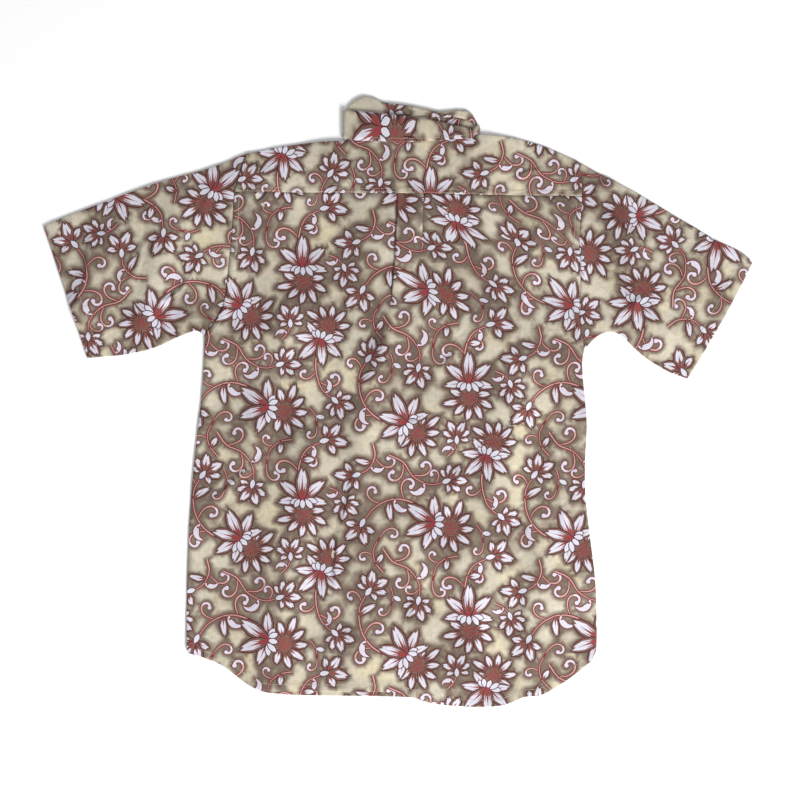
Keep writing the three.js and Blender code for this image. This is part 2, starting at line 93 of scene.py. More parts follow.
sleeves = {
    "left": {
        "side": -1, "edge": leftEdge, "cuffBow": 0.0, "turn": -108,
        "top": [(-209, 337.6), (-258, 318.6), (-318.5, 302), (-366.5, 285.6), (-410, 269), (-462, 249.6),
                (-485, 238)],
        "under": [(-265, 91), (-276, 98), (-298, 91), (-332, 76), (-376, 65), (-426, 61)],
    },
    "right": {
        "side": 1, "edge": rightEdge, "cuffBow": 3.0, "turn": 112,
        "top": [(246, 326.6), (291, 302), (323, 285.6), (379, 252.6), (435, 219.6), (468, 203.6),
                (484.5, 190)],
        "under": [(254, 73), (273, 91), (290, 96.4), (305, 91.4), (323, 74.4), (342, 58.4), (371, 41.4),
                  (396, 32.4)],
    },
}
pleat = {   # y, x of the left fold, depth of the left and right folds
    "width": 34.3,
    "line": [(300, -0.7), (285, -0.7), (220, -3), (170, -6), (140, -9), (105, -20), (60, -42), (-10, -66),
             (-120, -70), (-240, -66), (-320, -76), (-400, -76)],
    "left": [(300, 15), (285, 15), (220, 11), (170, 7), (142, 3), (132, 0), (-420, 0)],
    "right": [(300, 15), (285, 14), (250, 9), (226, 4), (216, 0), (-420, 0)],
    "ridge": 3.0,
}
# Soft creases of the upper layers: x1 y1 x2 y2 reach height
mainCreases = [
    (-196, 282, -150, 90, 34, 3.2), (-150, 120, -205, -60, 40, 3.0), (-120, -60, -170, -330, 42, 3.4),
    (110, 250, 150, 60, 40, 3.2), (170, 40, 120, -190, 44, 3.6), (70, -120, 110, -370, 42, 3.2),
    (205, -150, 180, -350, 36, 2.6), (-20, 60, 60, -120, 40, 2.6), (-215, 318, -170, 300, 24, 2.2),
    (140, 330, 215, 300, 26, 2.4), (-300, 270, -350, 110, 34, 3.4), (-395, 220, -440, 120, 30, 2.4),
    (302, 240, 360, 90, 34, 3.6), (285, 290, 330, 215, 26, 2.8), (400, 190, 395, 90, 28, 2.4)]
# Finer ridges and troughs: x1 y1 x2 y2 bend half-width height
fineCreases = [
    (-190, 100, -110, -40, 10, 13, 1.5), (-165, 70, -95, -60, -8, 9, -1.1),
    (-250, 60, -170, -20, 6, 10, 1.2), (-175, 270, -205, 150, -8, 9, -1.2),
    (-120, 240, -95, 120, 6, 11, 1.0), (-60, 180, -85, 20, 9, 12, 1.1), (-62, -104, -94, -372, -9, 14, 1.7),
    (-84, -24, -262, -142, -10, 15, 1.6), (70, -205, 112, -362, 8, 14, 1.5),
    (236, 60, 232, -120, 4, 10, -1.6), (-6, 130, -44, 20, 5, 12, 1.3), (-150, -120, -95, -250, 10, 12, 1.0),
    (-245, -130, -180, -250, 12, 12, 1.2), (-260, -230, -190, -330, 8, 10, -1.0),
    (-30, -60, 10, -200, 8, 13, 1.0), (40, -180, 20, -330, -8, 12, 1.1), (90, -20, 60, -160, 8, 11, 1.2),
    (150, -60, 190, -200, -9, 13, 1.3), (130, -210, 170, -330, 8, 12, -1.0),
    (215, -60, 235, -190, -5, 10, 1.3), (225, 40, 150, -40, -9, 11, 1.2), (240, 70, 190, -90, 8, 10, -1.1),
    (60, 250, 75, 110, -6, 12, 0.9), (190, 250, 165, 120, 7, 10, 1.2), (110, 120, 40, 30, 8, 14, 1.1),
    (20, 150, 35, 30, -4, 10, 0.8), (200, 180, 235, 80, 5, 9, -1.2), (10, -18, 38, -40, 3, 9, -1.4),
    (135, -18, 160, -50, 3, 9, -1.2), (-10, 240, -4, 180, 1, 8, -0.8), (-212, 290, -180, 265, 2, 10, -2.2),
    (-200, 320, -150, 296, 3, 10, 1.6), (195, 318, 150, 296, -3, 9, 1.4), (-285, 150, -250, 110, 4, 8, -1.8),
    (-275, 190, -330, 130, 8, 10, 1.6), (-250, 300, -300, 230, 7, 11, 1.3),
    (-340, 260, -380, 150, 9, 10, 1.3), (-420, 240, -440, 130, 4, 9, 1.1), (-370, 110, -430, 90, 3, 8, 0.9),
    (300, 180, 356, 95, 8, 7, -2.4), (290, 250, 345, 175, 9, 9, 1.8), (262, 150, 300, 108, 5, 8, -1.5),
    (380, 215, 420, 110, -8, 10, 1.5), (340, 150, 300, 120, 4, 8, 1.2), (430, 180, 452, 100, -4, 9, 1.1),
    (262, 300, 330, 262, 6, 10, 1.2), (-100, 326, -60, 300, 3, 9, 0.8), (70, 330, 110, 300, -3, 9, 0.9)]
waves = np.random.default_rng(7).uniform(0, 1, (12, 3))


def lineParts(x, y, x1, y1, x2, y2):
    dx, dy = x2 - x1, y2 - y1
    size = math.hypot(dx, dy)
    t = ((x - x1) * dx + (y - y1) * dy) / size ** 2
    return t, (-(x - x1) * dy + (y - y1) * dx) / size, size


def creaseHeight(x, y):
    height = np.zeros_like(x)
    for x1, y1, x2, y2, reach, peak in mainCreases:
        t, side, size = lineParts(x, y, x1, y1, x2, y2)
        away = np.hypot(side, np.maximum(np.abs(t - 0.5) - 0.5, 0) * size)
        height += cloth["mainCrease"] * peak * plateau(away, 0, reach)
    for x1, y1, x2, y2, bend, half, peak in fineCreases:
        t, side, size = lineParts(x, y, x1, y1, x2, y2)
        side = side - bend * np.sin(np.pi * t) - cloth["wobble"] * np.sin(t * 11 + x1)
        width = half * (0.75 + 0.35 * np.sin(5 * t + y1)) * np.where(side > 0, 1.0, 0.62)
        along = np.sin(np.pi * np.clip((t + 0.12) / 1.24, 0, 1)) ** 0.8 * (0.8 + 0.25 * np.sin(7 * t + x2))
        height += cloth["fineCrease"] * peak * along * np.exp(-(side / width) ** 2 * 1.6)
    # the layers beneath stop a trough
    return np.where(height < 0, height / (1 - height / cloth["sink"]), height)


def creaseLines(border, toDomain=None):   # lines along and beside the finer creases that a panel holds
    out = []
    closed = np.concatenate([border, border[:1]])
    for x1, y1, x2, y2, bend, half, _ in fineCreases:
        along = np.array([x2 - x1, y2 - y1], float)
        size = np.linalg.norm(along)
        across = np.array([-along[1], along[0]]) / size
        t = np.linspace(0.02, 0.98, max(4, int(size / 7)))
        middle = bend * np.sin(np.pi * t) + cloth["wobble"] * np.sin(t * 11 + x1)
        for shift in (-0.7 * half, 0.0, 0.7 * half):
            points = np.array([x1, y1]) + t[:, None] * along + (middle + shift)[:, None] * across
            if toDomain:
                points = toDomain(points)
            if inside(points, border).all() and (toLine(points, closed)[0] >= 2.5).all():
                out.append(points)
    return out


def ripple(x, y):   # faint waves all over
    height = np.zeros_like(x)
    for a, b, c in waves:
        angle, length = fullTurn * a, 26 + 60 * b
        across = x * math.cos(angle) + y * math.sin(angle)
        height += 0.09 * np.sin(across / length * fullTurn + fullTurn * c)
    return height


def centreX(y):   # the line of the buttons
    return np.interp(y, [-400, 357], [-10, 17])


def aboveButtons(y):
    return smooth((y + 330) / 150)


def collarZone(x, y, spread):
    return plateau(np.abs(x - 17), 97 + spread / 4, 140 + spread) * smooth((y - 288 + spread) / 32)


def frontLift(x, y):
    row = plateau(np.abs(x - centreX(y)), 24, 60) * aboveButtons(y)
    return cloth["button"] * np.maximum(row, collarZone(x, y, 0))


def frontZ(x, y):
    return 0.3 + frontLift(x, y) + 0.12 * (1 + np.sin(x * 0.11 + 2 * np.sin(y * 0.05)))


def lapZ(x, y):
    return frontZ(x, y) + cloth["pitch"] * plateau(x - centreX(y), 26, 60)


def upperZ(x, y):
    lap = plateau(np.abs(x - centreX(y)), 36, 110)
    under = np.maximum(lap * (cloth["button"] * aboveButtons(y) + cloth["pitch"]),
                       cloth["button"] * collarZone(x, y, 24))
    return 0.75 + cloth["pitch"] + under + creaseHeight(x, y) + ripple(x, y)


def runLength(points):   # how far along a line each of its points lies
    return np.concatenate([[0], np.cumsum(np.linalg.norm(np.diff(points, axis=0), axis=1))])


def curve(points, spacing=cloth["edgeStep"]):   # a smooth line through the points, at about one spacing
    p = np.array(points, float)
    steps = np.linalg.norm(np.diff(p, axis=0), axis=1)
    at = runLength(p)
    t = np.linspace(0, at[-1], max(2, int(math.ceil(at[-1] / spacing))) + 1)
    if len(p) == 2:
        return p[0] + (p[1] - p[0]) * (t / at[-1])[:, None]
    slope = np.zeros_like(p)
    slope[1:-1] = (p[2:] - p[:-2]) / (at[2:] - at[:-2])[:, None]
    slope[0], slope[-1] = (p[1] - p[0]) / steps[0], (p[-1] - p[-2]) / steps[-1]
    i = np.clip(np.searchsorted(at, t, side="right") - 1, 0, len(steps) - 1)
    h = steps[i][:, None]
    f = ((t - at[i]) / steps[i])[:, None]
    return ((2 * f ** 3 - 3 * f ** 2 + 1) * p[i] + (f ** 3 - 2 * f ** 2 + f) * h * slope[i]
            + (3 * f ** 2 - 2 * f ** 3) * p[i + 1] + (f ** 3 - f ** 2) * h * slope[i + 1])


def leftOf(ways):   # unit vectors a quarter turn to the left of some ways
    n = np.stack([-ways[:, 1], ways[:, 0]], 1)
    return n / np.maximum(np.linalg.norm(n, axis=1, keepdims=True), 1e-9)


def inset(points, distance):   # to the left of the way the line runs
    return points + leftOf(np.gradient(points, axis=0)) * distance


def signedArea(p):   # twice the area, above nought where the points run anticlockwise
    return np.sum(p[:, 0] * np.roll(p[:, 1], -1) - np.roll(p[:, 0], -1) * p[:, 1])


def borderOf(loop):
    return np.concatenate([line[:-1] for _, line in loop])


def toLine(points, line):   # distance to a line, and how far along it the nearest place is
    points = np.asarray(points, float)
    a, b = line[:-1], line[1:]
    d = b - a
    size = np.maximum(np.sum(d * d, axis=1), 1e-12)
    start = np.concatenate([[0], np.cumsum(np.sqrt(size))])[:-1]
    best, along = np.full(len(points), 1e9), np.zeros(len(points))
    for k in range(len(a)):
        t = np.clip(((points - a[k]) @ d[k]) / size[k], 0, 1)
        away = np.linalg.norm(points - a[k] - t[:, None] * d[k], axis=1)
        near = away < best
        best[near], along[near] = away[near], (start[k] + t * math.sqrt(size[k]))[near]
    return best, along


def inside(points, polygon):   # in parts, to spare memory
    p, q = polygon, np.roll(polygon, -1, 0)
    out = np.zeros(len(points), bool)
    for k in range(0, len(points), 20000):
        x, y = points[k:k + 20000, 0][:, None], points[k:k + 20000, 1][:, None]
        side = (q[:, 0] - p[:, 0]) * (y - p[:, 1]) - (x - p[:, 0]) * (q[:, 1] - p[:, 1])
        up = (p[:, 1] <= y) & (q[:, 1] > y) & (side > 0)
        down = (p[:, 1] > y) & (q[:, 1] <= y) & (side < 0)
        out[k:k + 20000] = up.sum(1) != down.sum(1)
    return out


# The print: flat shapes in eight inks, each drawn over those before it
inks = {   # linear light
    "ground": (0.5, 0.5, 0.5),
    "plum": (0.072, 0.014, 0.019),
    "umber": (0.160, 0.080, 0.062),
    "shade": (0.165, 0.108, 0.080),
    "red": (0.262, 0.036, 0.042),
    "rib": (0.180, 0.025, 0.030),
    "pink": (0.500, 0.330, 0.290),
    "white": (0.590, 0.570, 0.640),
}
inkNames = list(inks)
inkOf = {key: k for k, key in enumerate(inkNames)}


def turned(points, angle, size=1.0, flip=False, at=(0, 0)):
    p = np.array(points, float) * size
    if flip:
        p = p * [1, -1]
    c, s = math.cos(math.radians(angle)), math.sin(math.radians(angle))
    return p @ np.array([[c, s], [-s, c]]) + at


def placed(parts, angle, size=1.0, flip=False, at=(0, 0)):
    return [(ink, turned(p, angle, size, flip, at)) for ink, p in parts]


def grown(points, d):   # the same outline, larger all round
    p = np.array(points, float)
    n = -leftOf(p - np.roll(p, 1, 0)) - leftOf(np.roll(p, -1, 0) - p)
    n /= np.maximum(np.linalg.norm(n, axis=1, keepdims=True), 0.55)
    return p + n * d * (1.15 if signedArea(p) > 0 else -1.15)


def ribbon(path, widths):
    p = np.array(path, float)
    across = leftOf(np.gradient(p, axis=0)) * (np.asarray(widths, float)[:, None] / 2)
    return np.concatenate([p + across, (p - across)[::-1]])


def disc(radius, count, at=(0, 0)):
    a = np.linspace(0, 2 * math.pi, count + 1)[:-1]
    return np.column_stack([np.cos(a), np.sin(a)]) * radius + at


petalTips = {0: [(1.0, 0)], 1: [(0.97, 0.3), (0.9, 0.08), (1.04, -0.14)],
             -1: [(1.04, 0.14), (0.9, -0.08), (0.97, -0.3)]}   # whole, or cleft to one side


# A dark outline, a white blade with fingers at its root, and red ribs in the notch
def petal(length, width, lean=0.0, start=0.16, notch=0.56, cleft=0, fine=False):
    def at(rows):
        return np.array([(t * length, lean * length * t * t + f * width / 2) for t, f in rows])
    tip = petalTips[cleft]
    if fine:
        side = [(0.05, 0.24), (0.3, 0.8), (0.58, 1.0), (0.83, 0.7)]
        white = [(start, 0.3), (0.36, 0.52), (0.6, 0.68), (0.82, 0.44)]
        veins = ((notch + 0.2, 0.0, 0.02), (start + 0.34, 0.34, 0.5), (start + 0.36, -0.32, -0.48))
    else:
        side = [(0.08, 0.3), (0.48, 1.0), (0.8, 0.74)]
        white = [(start + 0.06, 0.3), (0.52, 0.64), (0.8, 0.42)]
        veins = ((notch + 0.16, 0.0, 0.0),)
    whole = at(side + tip + [(t, -f) for t, f in side[::-1]])
    white = white + [(t - 0.06, f) for t, f in tip] + [(t, -f) for t, f in white[::-1]]
    white += [(start + 0.14, -0.18), (notch + 0.06, 0.03), (start + 0.12, 0.18)]
    out = [("plum", grown(whole, 1.15)), ("umber", whole), ("white", at(white))]
    for end, root, bend in veins:
        low, high = root * 0.4, root * 0.9
        vein = [(0.02, low + 0.1), (0.3, high + 0.1), (end, bend), (0.3, high - 0.1), (0.02, low - 0.1)]
        out.append(("red", at(vein)))
    return out


def drop(length, width):
    shape = [(0, 0), (0.25, 0.36), (0.55, 0.5), (0.8, 0.36), (1, 0)]
    shape = np.array(shape + [(t, -f) for t, f in shape[-2:0:-1]]) * [length, width]
    return [("plum", grown(shape, 1.1)), ("white", shape)]


def stem(points, thick=1.0):
    q = curve(points, 7.0)
    full = np.linspace(5.0, 3.7, len(q)) * thick
    return [("rib", ribbon(q, full)), ("pink", ribbon(q[:-1], np.maximum(full[:-1] - 3.0, 0.7)))], q


def curl(length, turn, size=1.0, count=13):
    s = np.linspace(0, 1, count)
    heading = np.radians(turn) * s ** 1.7
    step = length / (count - 1) * (1.32 - 0.64 * s)
    path = np.cumsum(np.column_stack([np.cos(heading), np.sin(heading)]) * step[:, None], axis=0)
    path = np.concatenate([[[0, 0]], path[:-1]])
    fill = np.interp(s, [0, 0.35, 0.8, 1], [0.7, 1.8, 3.4, 3.4]) * size
    bulb = disc(3.1 * size, 8, path[-1])
    return [("rib", ribbon(path, fill + 2.7)), ("rib", grown(bulb, 1.2)),
            ("pink", ribbon(path[:8], fill[:8])), ("white", ribbon(path[7:], fill[7:])), ("white", bulb)]


def crescent(radius, thick, sweep=190):
    a = np.radians(np.linspace(0, sweep, 9))
    b = np.radians(np.linspace(sweep - 8, 30, 6))
    outer = np.column_stack([radius * np.sin(a), radius * (1 - np.cos(a))])
    swell = radius - thick * np.sin(np.pi * (b / np.radians(sweep)) ** 0.8)
    innerArc = np.column_stack([swell * np.sin(b), radius - swell * np.cos(b)])
    root = np.array([(0.42, 0.5), (0.5, 0.24), (0.16, 0.3)]) * radius
    shape = np.concatenate([outer, innerArc, root])
    return [("rib", grown(shape, 1.25)), ("white", shape)]


def flower(rows, length=25, width=14.5):   # petals in painter's order: angle, size
    out = []
    for k, (angle, size) in enumerate(rows):
        out += placed(petal(length, width, 0.1 * np.sign(angle), 0.3, 0.6, (1, 0, -1)[k % 3]), angle, size)
    return out + [("red", disc(3.0, 6))] + placed(drop(14, 7), 182, 1.0, False, (3, 0))


# The large flower: a ring of short petals round a seeded heart, and a fan of long ones: angle, size, lean
bloom = {"long": 40, "wide": 16.5, "ringLong": 21, "ringWide": 11.5, "heartX": -19, "heart": 10, "seeds": 7,
         "seedTurn": 2.39996, "ragged": 13}
fans = [
    ((-86, 0.84, -0.14), (88, 0.84, 0.16), (-44, 1.0, -0.1), (42, 1.0, 0.1), (-2, 1.12, 0.04)),
    ((-104, 0.78, -0.18), (100, 0.8, 0.18), (-64, 0.96, -0.12), (60, 0.98, 0.12), (-23, 1.12, -0.04),
     (20, 1.02, 0.06)),
    ((-70, 0.92, -0.1), (66, 0.9, 0.14), (-22, 1.14, -0.02), (25, 1.04, 0.06))]


def bigFlower(kind):
    out = [("shade", disc(18, 14, (-16, 0)))]
    for k, angle in enumerate(range(75, 290, 35)):
        reach = 8 + 3 * (k % 2)
        root = (-18 + reach * math.cos(math.radians(angle)), 1 + reach * math.sin(math.radians(angle)))
        short = petal(bloom["ringLong"] + 3 * (k % 3), bloom["ringWide"], 0.14, 0.2, 0.46, (k % 3) - 1)
        out += placed(short, angle, 1.0, False, root)
    out.append(("umber", disc(bloom["heart"], 10, (bloom["heartX"], 1))))
    for k in range(bloom["seeds"]):
        a, r = k * bloom["seedTurn"], 3.0 * math.sqrt(k + 0.5)
        ring = np.array([[math.cos(b), math.sin(b)] for b in np.linspace(0.3, 5.2, 5)])
        seed = np.array([bloom["heartX"] + r * math.cos(a), 1 + r * math.sin(a)])
        out.append(("red", ribbon(seed + ring * 2.0, [1.5] * 5)))
    for k, (angle, size, lean) in enumerate(fans[kind]):
        blade = petal(bloom["long"], bloom["wide"], lean, 0.22, 0.62, (1, -1)[k % 2], True)
        out += placed(blade, angle, size)
    for k, angle in enumerate((-118, 106, -150, 144, 178)):   # small ragged petals over the heart
        out += placed(drop(bloom["ragged"] + 3 * (k % 2), 7), angle, 1.0, False, (2, (-5, 5, -4, 4, 0)[k]))
    return out + [("red", disc(2.6, 6, (3, 0)))]


starRows = ((-108, 0.72), (104, 0.78), (-62, 0.94), (64, 0.9), (-20, 1.12), (24, 1.04))
lilyRows = ((-80, 0.84), (70, 0.9), (-32, 1.1), (18, 1.16))
sprigs = {
    "curl": curl(50, 305), "hook": curl(36, 280, 0.9),
    "crescent": crescent(11.5, 8), "moon": crescent(9.5, 6.5, 170),
    "bud": petal(22, 12.5, 0.05, 0.2, 0.5), "leaf": petal(31, 13.5, 0.3, 0.16, 0.5, 1), "drop": drop(15, 8),
    "star": flower(starRows), "lily": flower(lilyRows),
    "fan0": bigFlower(0), "fan1": bigFlower(1), "fan2": bigFlower(2),
}
# A vine: its stem, its thickness, and what grows on it: name, place along, turn, size, flip
vines = {
    "trailA": ([(0, 0), (-34, -20), (-66, -16), (-92, 8), (-98, 38)], 1.0, [
        ("curl", 0.34, 38, 1.0, 0), ("curl", 0.52, -52, 1.0, 1), ("crescent", 0.44, 62, 1.0, 0),
        ("leaf", 0.72, -40, 0.9, 1), ("hook", 0.84, 48, 1.0, 0), ("star", 1.0, -6, 1.0, 0),
        ("fan1", 0.0, 180, 1.0, 0)]),
    "trailB": ([(0, 0), (-30, 24), (-62, 30), (-88, 12)], 1.0, [
        ("curl", 0.42, -46, 1.05, 1), ("hook", 0.62, 58, 1.0, 0), ("moon", 0.8, 50, 1.0, 0),
        ("bud", 0.5, 64, 0.9, 0), ("lily", 1.0, 8, 1.0, 0), ("fan0", 0.0, 150, 1.0, 0)]),
    "trailC": ([(0, 0), (-26, -26), (-56, -34), (-84, -22), (-102, 2)], 1.0, [
        ("curl", 0.4, 52, 1.0, 0), ("crescent", 0.5, -50, 1.0, 1), ("curl", 0.68, 44, 0.9, 0),
        ("leaf", 0.6, -62, 0.9, 1), ("lily", 1.0, -10, 1.0, 0), ("fan2", 0.0, 190, 1.05, 1)]),
    "trailD": ([(0, 0), (-34, 10), (-60, 34), (-66, 62)], 1.0, [
        ("hook", 0.45, 44, 1.0, 0), ("curl", 0.6, -40, 1.0, 1), ("moon", 0.78, -46, 1.0, 1),
        ("star", 1.0, 4, 0.95, 0), ("fan1", 0.0, 172, 0.94, 1)]),
    "scroll": ([(0, 0), (18, 12), (42, 14), (64, 30), (70, 54)], 0.95, [
        ("curl", 0.24, -44, 1.0, 1), ("curl", 0.46, 40, 1.0, 0), ("crescent", 0.66, -40, 1.0, 1),
        ("hook", 0.8, 46, 0.9, 0), ("star", 1.0, 0, 0.95, 0)]),
    "twin": ([(0, 0), (16, -6), (36, 0), (48, 18)], 0.95, [
        ("curl", 0.36, -50, 0.95, 1), ("moon", 0.6, -44, 1.0, 1), ("leaf", 0.5, 58, 0.8, 0),
        ("lily", 1.0, 0, 0.95, 0)]),
    "bloom": ([(0, 0), (12, 8), (28, 8)], 0.85, [("moon", 0.4, -52, 0.9, 1), ("star", 1.0, -10, 0.9, 0)]),
    "tendril": ([(0, 0), (14, -8), (32, -8), (48, 4)], 0.85, [
        ("curl", 1.0, 6, 0.85, 0), ("hook", 0.5, -52, 0.85, 1), ("bud", 0.25, 60, 0.8, 0)]),
    "wisp": ([(0, 0), (12, 6), (26, 5)], 0.8, [("hook", 1.0, 0, 0.85, 1), ("drop", 0.4, 60, 0.8, 0)]),
}


def vine(kind):
    points, thick, growing = vines[kind]
    parts, q = stem(points, thick)
    slope = np.gradient(q, axis=0)
    under, over = [], []
    for name, t, turn, size, flip in growing:
        k = round(t * (len(q) - 1))
        heading = 0 if name.startswith("fan") else math.degrees(math.atan2(slope[k, 1], slope[k, 0]))
        layer = under if name in ("curl", "hook") else over
        layer += placed(sprigs[name], heading + turn, size, bool(flip), q[k])
    return under + parts + over


# One repeat of the print, in half-drop: vine x y angle flip
tileSize = (227.0, 318.0)
layout = [
    ("trailA", 0, 0, 320, 0), ("trailC", 39, 181, 0, 1), ("trailB", 84, 54, 240, 1),
    ("trailD", 110, 276, 60, 1),
    ("scroll", 194, 306, 340, 1), ("twin", 180, 132, 260, 1), ("scroll", 202, 116, 300, 0),
    ("tendril", 194, 274, 100, 1), ("bloom", 121, 71, 300, 0), ("tendril", 69, 137, 220, 0),
    ("bloom", 55, 273, 80, 1), ("wisp", 204, 254, 260, 0), ("wisp", 94, 180, 280, 0),
]


def tile():
    items = [placed(vine(kind), angle, 1.0, bool(flip), (x, y)) for kind, x, y, angle, flip in layout]
    flat = [part for item in items[4:] + items[:4] for part in item]   # the four large vines lie on top
    return [(inkOf[ink], polygon, polygon.min(0), polygon.max(0)) for ink, polygon in flat]


# The print over a panel: the tile is turned, moved and laid in half-drop rows; onto takes cloth to plan.
def printOver(border, angle, shift, onto=None):
    low, high = border.min(0), border.max(0)
    c, s = math.cos(math.radians(angle)), math.sin(math.radians(angle))
    forward = np.array([[c, s], [-s, c]])
    corners = (np.array([low, (low[0], high[1]), high, (high[0], low[1])], float) - shift) @ forward.T
    first, last = corners.min(0) - 4, corners.max(0) + 4
    starts = np.floor(first / tileSize).astype(int) - 2
    stops = np.ceil(last / tileSize).astype(int) + 2
    out = []
    for i in range(starts[0], stops[0]):
        for j in range(starts[1], stops[1]):
            move = np.array([i * tileSize[0], (j + (0.5 if i % 2 else 0)) * tileSize[1]])
            for ink, polygon, least, most in tileItems:
                if (most + move >= first).all() and (least + move <= last).all():
                    shape = (polygon + move) @ forward + shift
                    out.append((ink, onto(shape) if onto else shape))
    return out


# Triangles of one side of a panel. loop: name and points of each edge in turn; place: plan to 3-D.
def makeSkin(loop, place, motifs, step, lines=()):
    border = borderOf(loop)
    low, high = border.min(0), border.max(0)
    motifs = [(ink, p) for ink, p in motifs if (p.max(0) >= low).all() and (p.min(0) <= high).all()]
    drawn = [(border, True)] + [(np.asarray(line), False) for line in lines] + [(p, True) for _, p in motifs]
    edges, count = [], 0
    for line, closes in drawn:
        size = len(line)
        edges += [(count + k, count + (k + 1) % size) for k in range(size if closes else size - 1)]
        count += size
    xs, ys = np.arange(low[0], high[0], step), np.arange(low[1], high[1], step * 0.866)
    grid = np.array([(x + (step / 2 if j % 2 else 0), y) for j, y in enumerate(ys) for x in xs])
    grid = grid[inside(grid, border)]
    grid = grid[toLine(grid, np.concatenate([border, border[:1]]))[0] > step * 0.45]
    flat = np.concatenate([line for line, _ in drawn] + [grid])
    out = delaunay_2d_cdt([tuple(p) for p in flat], edges, [], 0, 1e-4)
    verts, faces = np.array([(v.x, v.y) for v in out[0]]), np.array(out[2])
    middle = verts[faces].mean(1)
    keep = inside(middle, border)
    faces, middle = faces[keep], middle[keep]
    # each face takes the ink of the last motif that covers it
    ink = np.zeros(len(faces), int)
    order = np.argsort(middle[:, 0])
    sortedX = middle[order, 0]
    for value, polygon in motifs:
        a, b = np.searchsorted(sortedX, [polygon[:, 0].min(), polygon[:, 0].max()])
        some = order[a:b]
        some = some[(middle[some, 1] > polygon[:, 1].min()) & (middle[some, 1] < polygon[:, 1].max())]
        if len(some):
            ink[some[inside(middle[some], polygon)]] = value
    # distance to the motifs' outlines, which the airbrushed ground follows
    near = np.full(len(verts), 60.0)
    if motifs:
        outline = np.concatenate([p for value, p in motifs if value in (inkOf["plum"], inkOf["rib"])])
        tree = kdtree.KDTree(len(outline))
        for k, (x, y) in enumerate(outline):
            tree.insert((x, y, 0), k)
        tree.balance()
        near = np.array([tree.find((x, y, 0))[2] for x, y in verts])
    used = np.unique(faces)
    index = np.full(len(verts), -1)
    index[used] = np.arange(len(used))
    faces, verts, near = index[faces], verts[used], near[used]
    # the points along each edge, in turn, and the ink beside them
    pair = np.sort(np.concatenate([faces[:, [0, 1]], faces[:, [1, 2]], faces[:, [2, 0]]]), axis=1)
    owner = np.tile(np.arange(len(faces)), 3)
    _, first, counts = np.unique(pair[:, 0] * len(verts) + pair[:, 1], return_index=True, return_counts=True)
    single = first[counts == 1]
    rim = np.unique(pair[single])
    chains = {}
    for name, line in loop:
        away, along = toLine(verts[rim], line)
        on = away < 0.01
        sort = np.argsort(along[on])
        chains[name] = (rim[on][sort], along[on][sort])
    return {"flat": verts, "at": place(verts), "faces": faces, "ink": ink, "near": near, "chains": chains,
            "edgeInk": {tuple(pair[k]): ink[owner[k]] for k in single}}


class Sheet:   # collects a piece's points and faces
    def __init__(self):
        self.verts, self.faces, self.ink, self.near, self.flat = [], [], [], [], []
        self.count = 0

    def addPoints(self, at, near, flat):
        self.verts.append(np.asarray(at, float).reshape(-1, 3))
        self.near.append(np.asarray(near, float).reshape(-1))
        self.flat.append(np.asarray(flat, float).reshape(-1, 2))
        start = self.count
        self.count += len(self.verts[-1])
        return start + np.arange(len(self.verts[-1]))

    def pointsOf(self, index):
        return [np.concatenate(rows)[index] for rows in (self.verts, self.near, self.flat)]

    def addSkin(self, skin):
        index = self.addPoints(skin["at"], skin["near"], skin["flat"])
        self.faces += [tuple(f) for f in index[skin["faces"]]]
        self.ink += list(skin["ink"])
        base = index[0]
        return {"chains": {name: (chain + base, along) for name, (chain, along) in skin["chains"].items()},
                "edgeInk": {(a + base, b + base): v for (a, b), v in skin["edgeInk"].items()}}

    def lace(self, a, alongA, b, alongB, inkA=()):   # triangles between two chains that run side by side
        i, j = 0, 0
        while i < len(a) - 1 or j < len(b) - 1:
            takeA = j == len(b) - 1 or (i < len(a) - 1 and alongA[i + 1] <= alongB[j + 1])
            self.faces.append((a[i], a[i + 1], b[j]) if takeA else (a[i], b[j + 1], b[j]))
            self.ink.append(inkA[min(i, len(inkA) - 1)] if len(inkA) else 0)
            i, j = (i + 1, j) if takeA else (i, j + 1)


def chainInk(part, name):
    chain, _ = part["chains"][name]
    return [part["edgeInk"].get((min(p, q), max(p, q)), 0) for p, q in zip(chain[:-1], chain[1:])]


def addObject(name, data):
    made = bpy.data.objects.new(name, data)
    bpy.context.scene.collection.objects.link(made)
    return made


def makeMesh(name, sheet, material):
    mesh = bpy.data.meshes.new(name)
    faces = np.array(sheet.faces)
    mesh.from_pydata((np.concatenate(sheet.verts) * 0.001).tolist(), [], faces.tolist())
    near = mesh.attributes.new("near", "FLOAT", "POINT")
    near.data.foreach_set("value", np.clip(np.concatenate(sheet.near), 0, 60).astype(np.float32))
    colour = mesh.attributes.new("ink", "FLOAT_COLOR", "CORNER")
    table = np.array([inks[key] + (0.0 if key == "ground" else 1.0,) for key in inkNames], np.float32)
    colour.data.foreach_set("color", np.repeat(table[np.array(sheet.ink)], 3, axis=0).ravel())
    uv = mesh.uv_layers.new(name="cloth")
    flat = np.concatenate(sheet.flat) * 0.001
    uv.data.foreach_set("uv", flat[faces.ravel()].astype(np.float32).ravel())
    made = addObject(name, mesh)
    shape = bmesh.new()
    shape.from_mesh(mesh)
    bmesh.ops.recalc_face_normals(shape, faces=shape.faces)
    loose = sum(len(edge.link_faces) != 2 for edge in shape.edges)
    shape.to_mesh(mesh)
    shape.free()
    mesh.shade_smooth()
    mesh.materials.append(material)
    print(name, "has", len(mesh.polygons), "faces and", loose, "open or crowded edges")
    return made


def partOf(points, start):   # the line from its place nearest to start on, with start as its first point
    along = toLine(np.array([start], float), points)[1]
    return np.concatenate([[start], points[runLength(points) > along[0] + 0.8]])


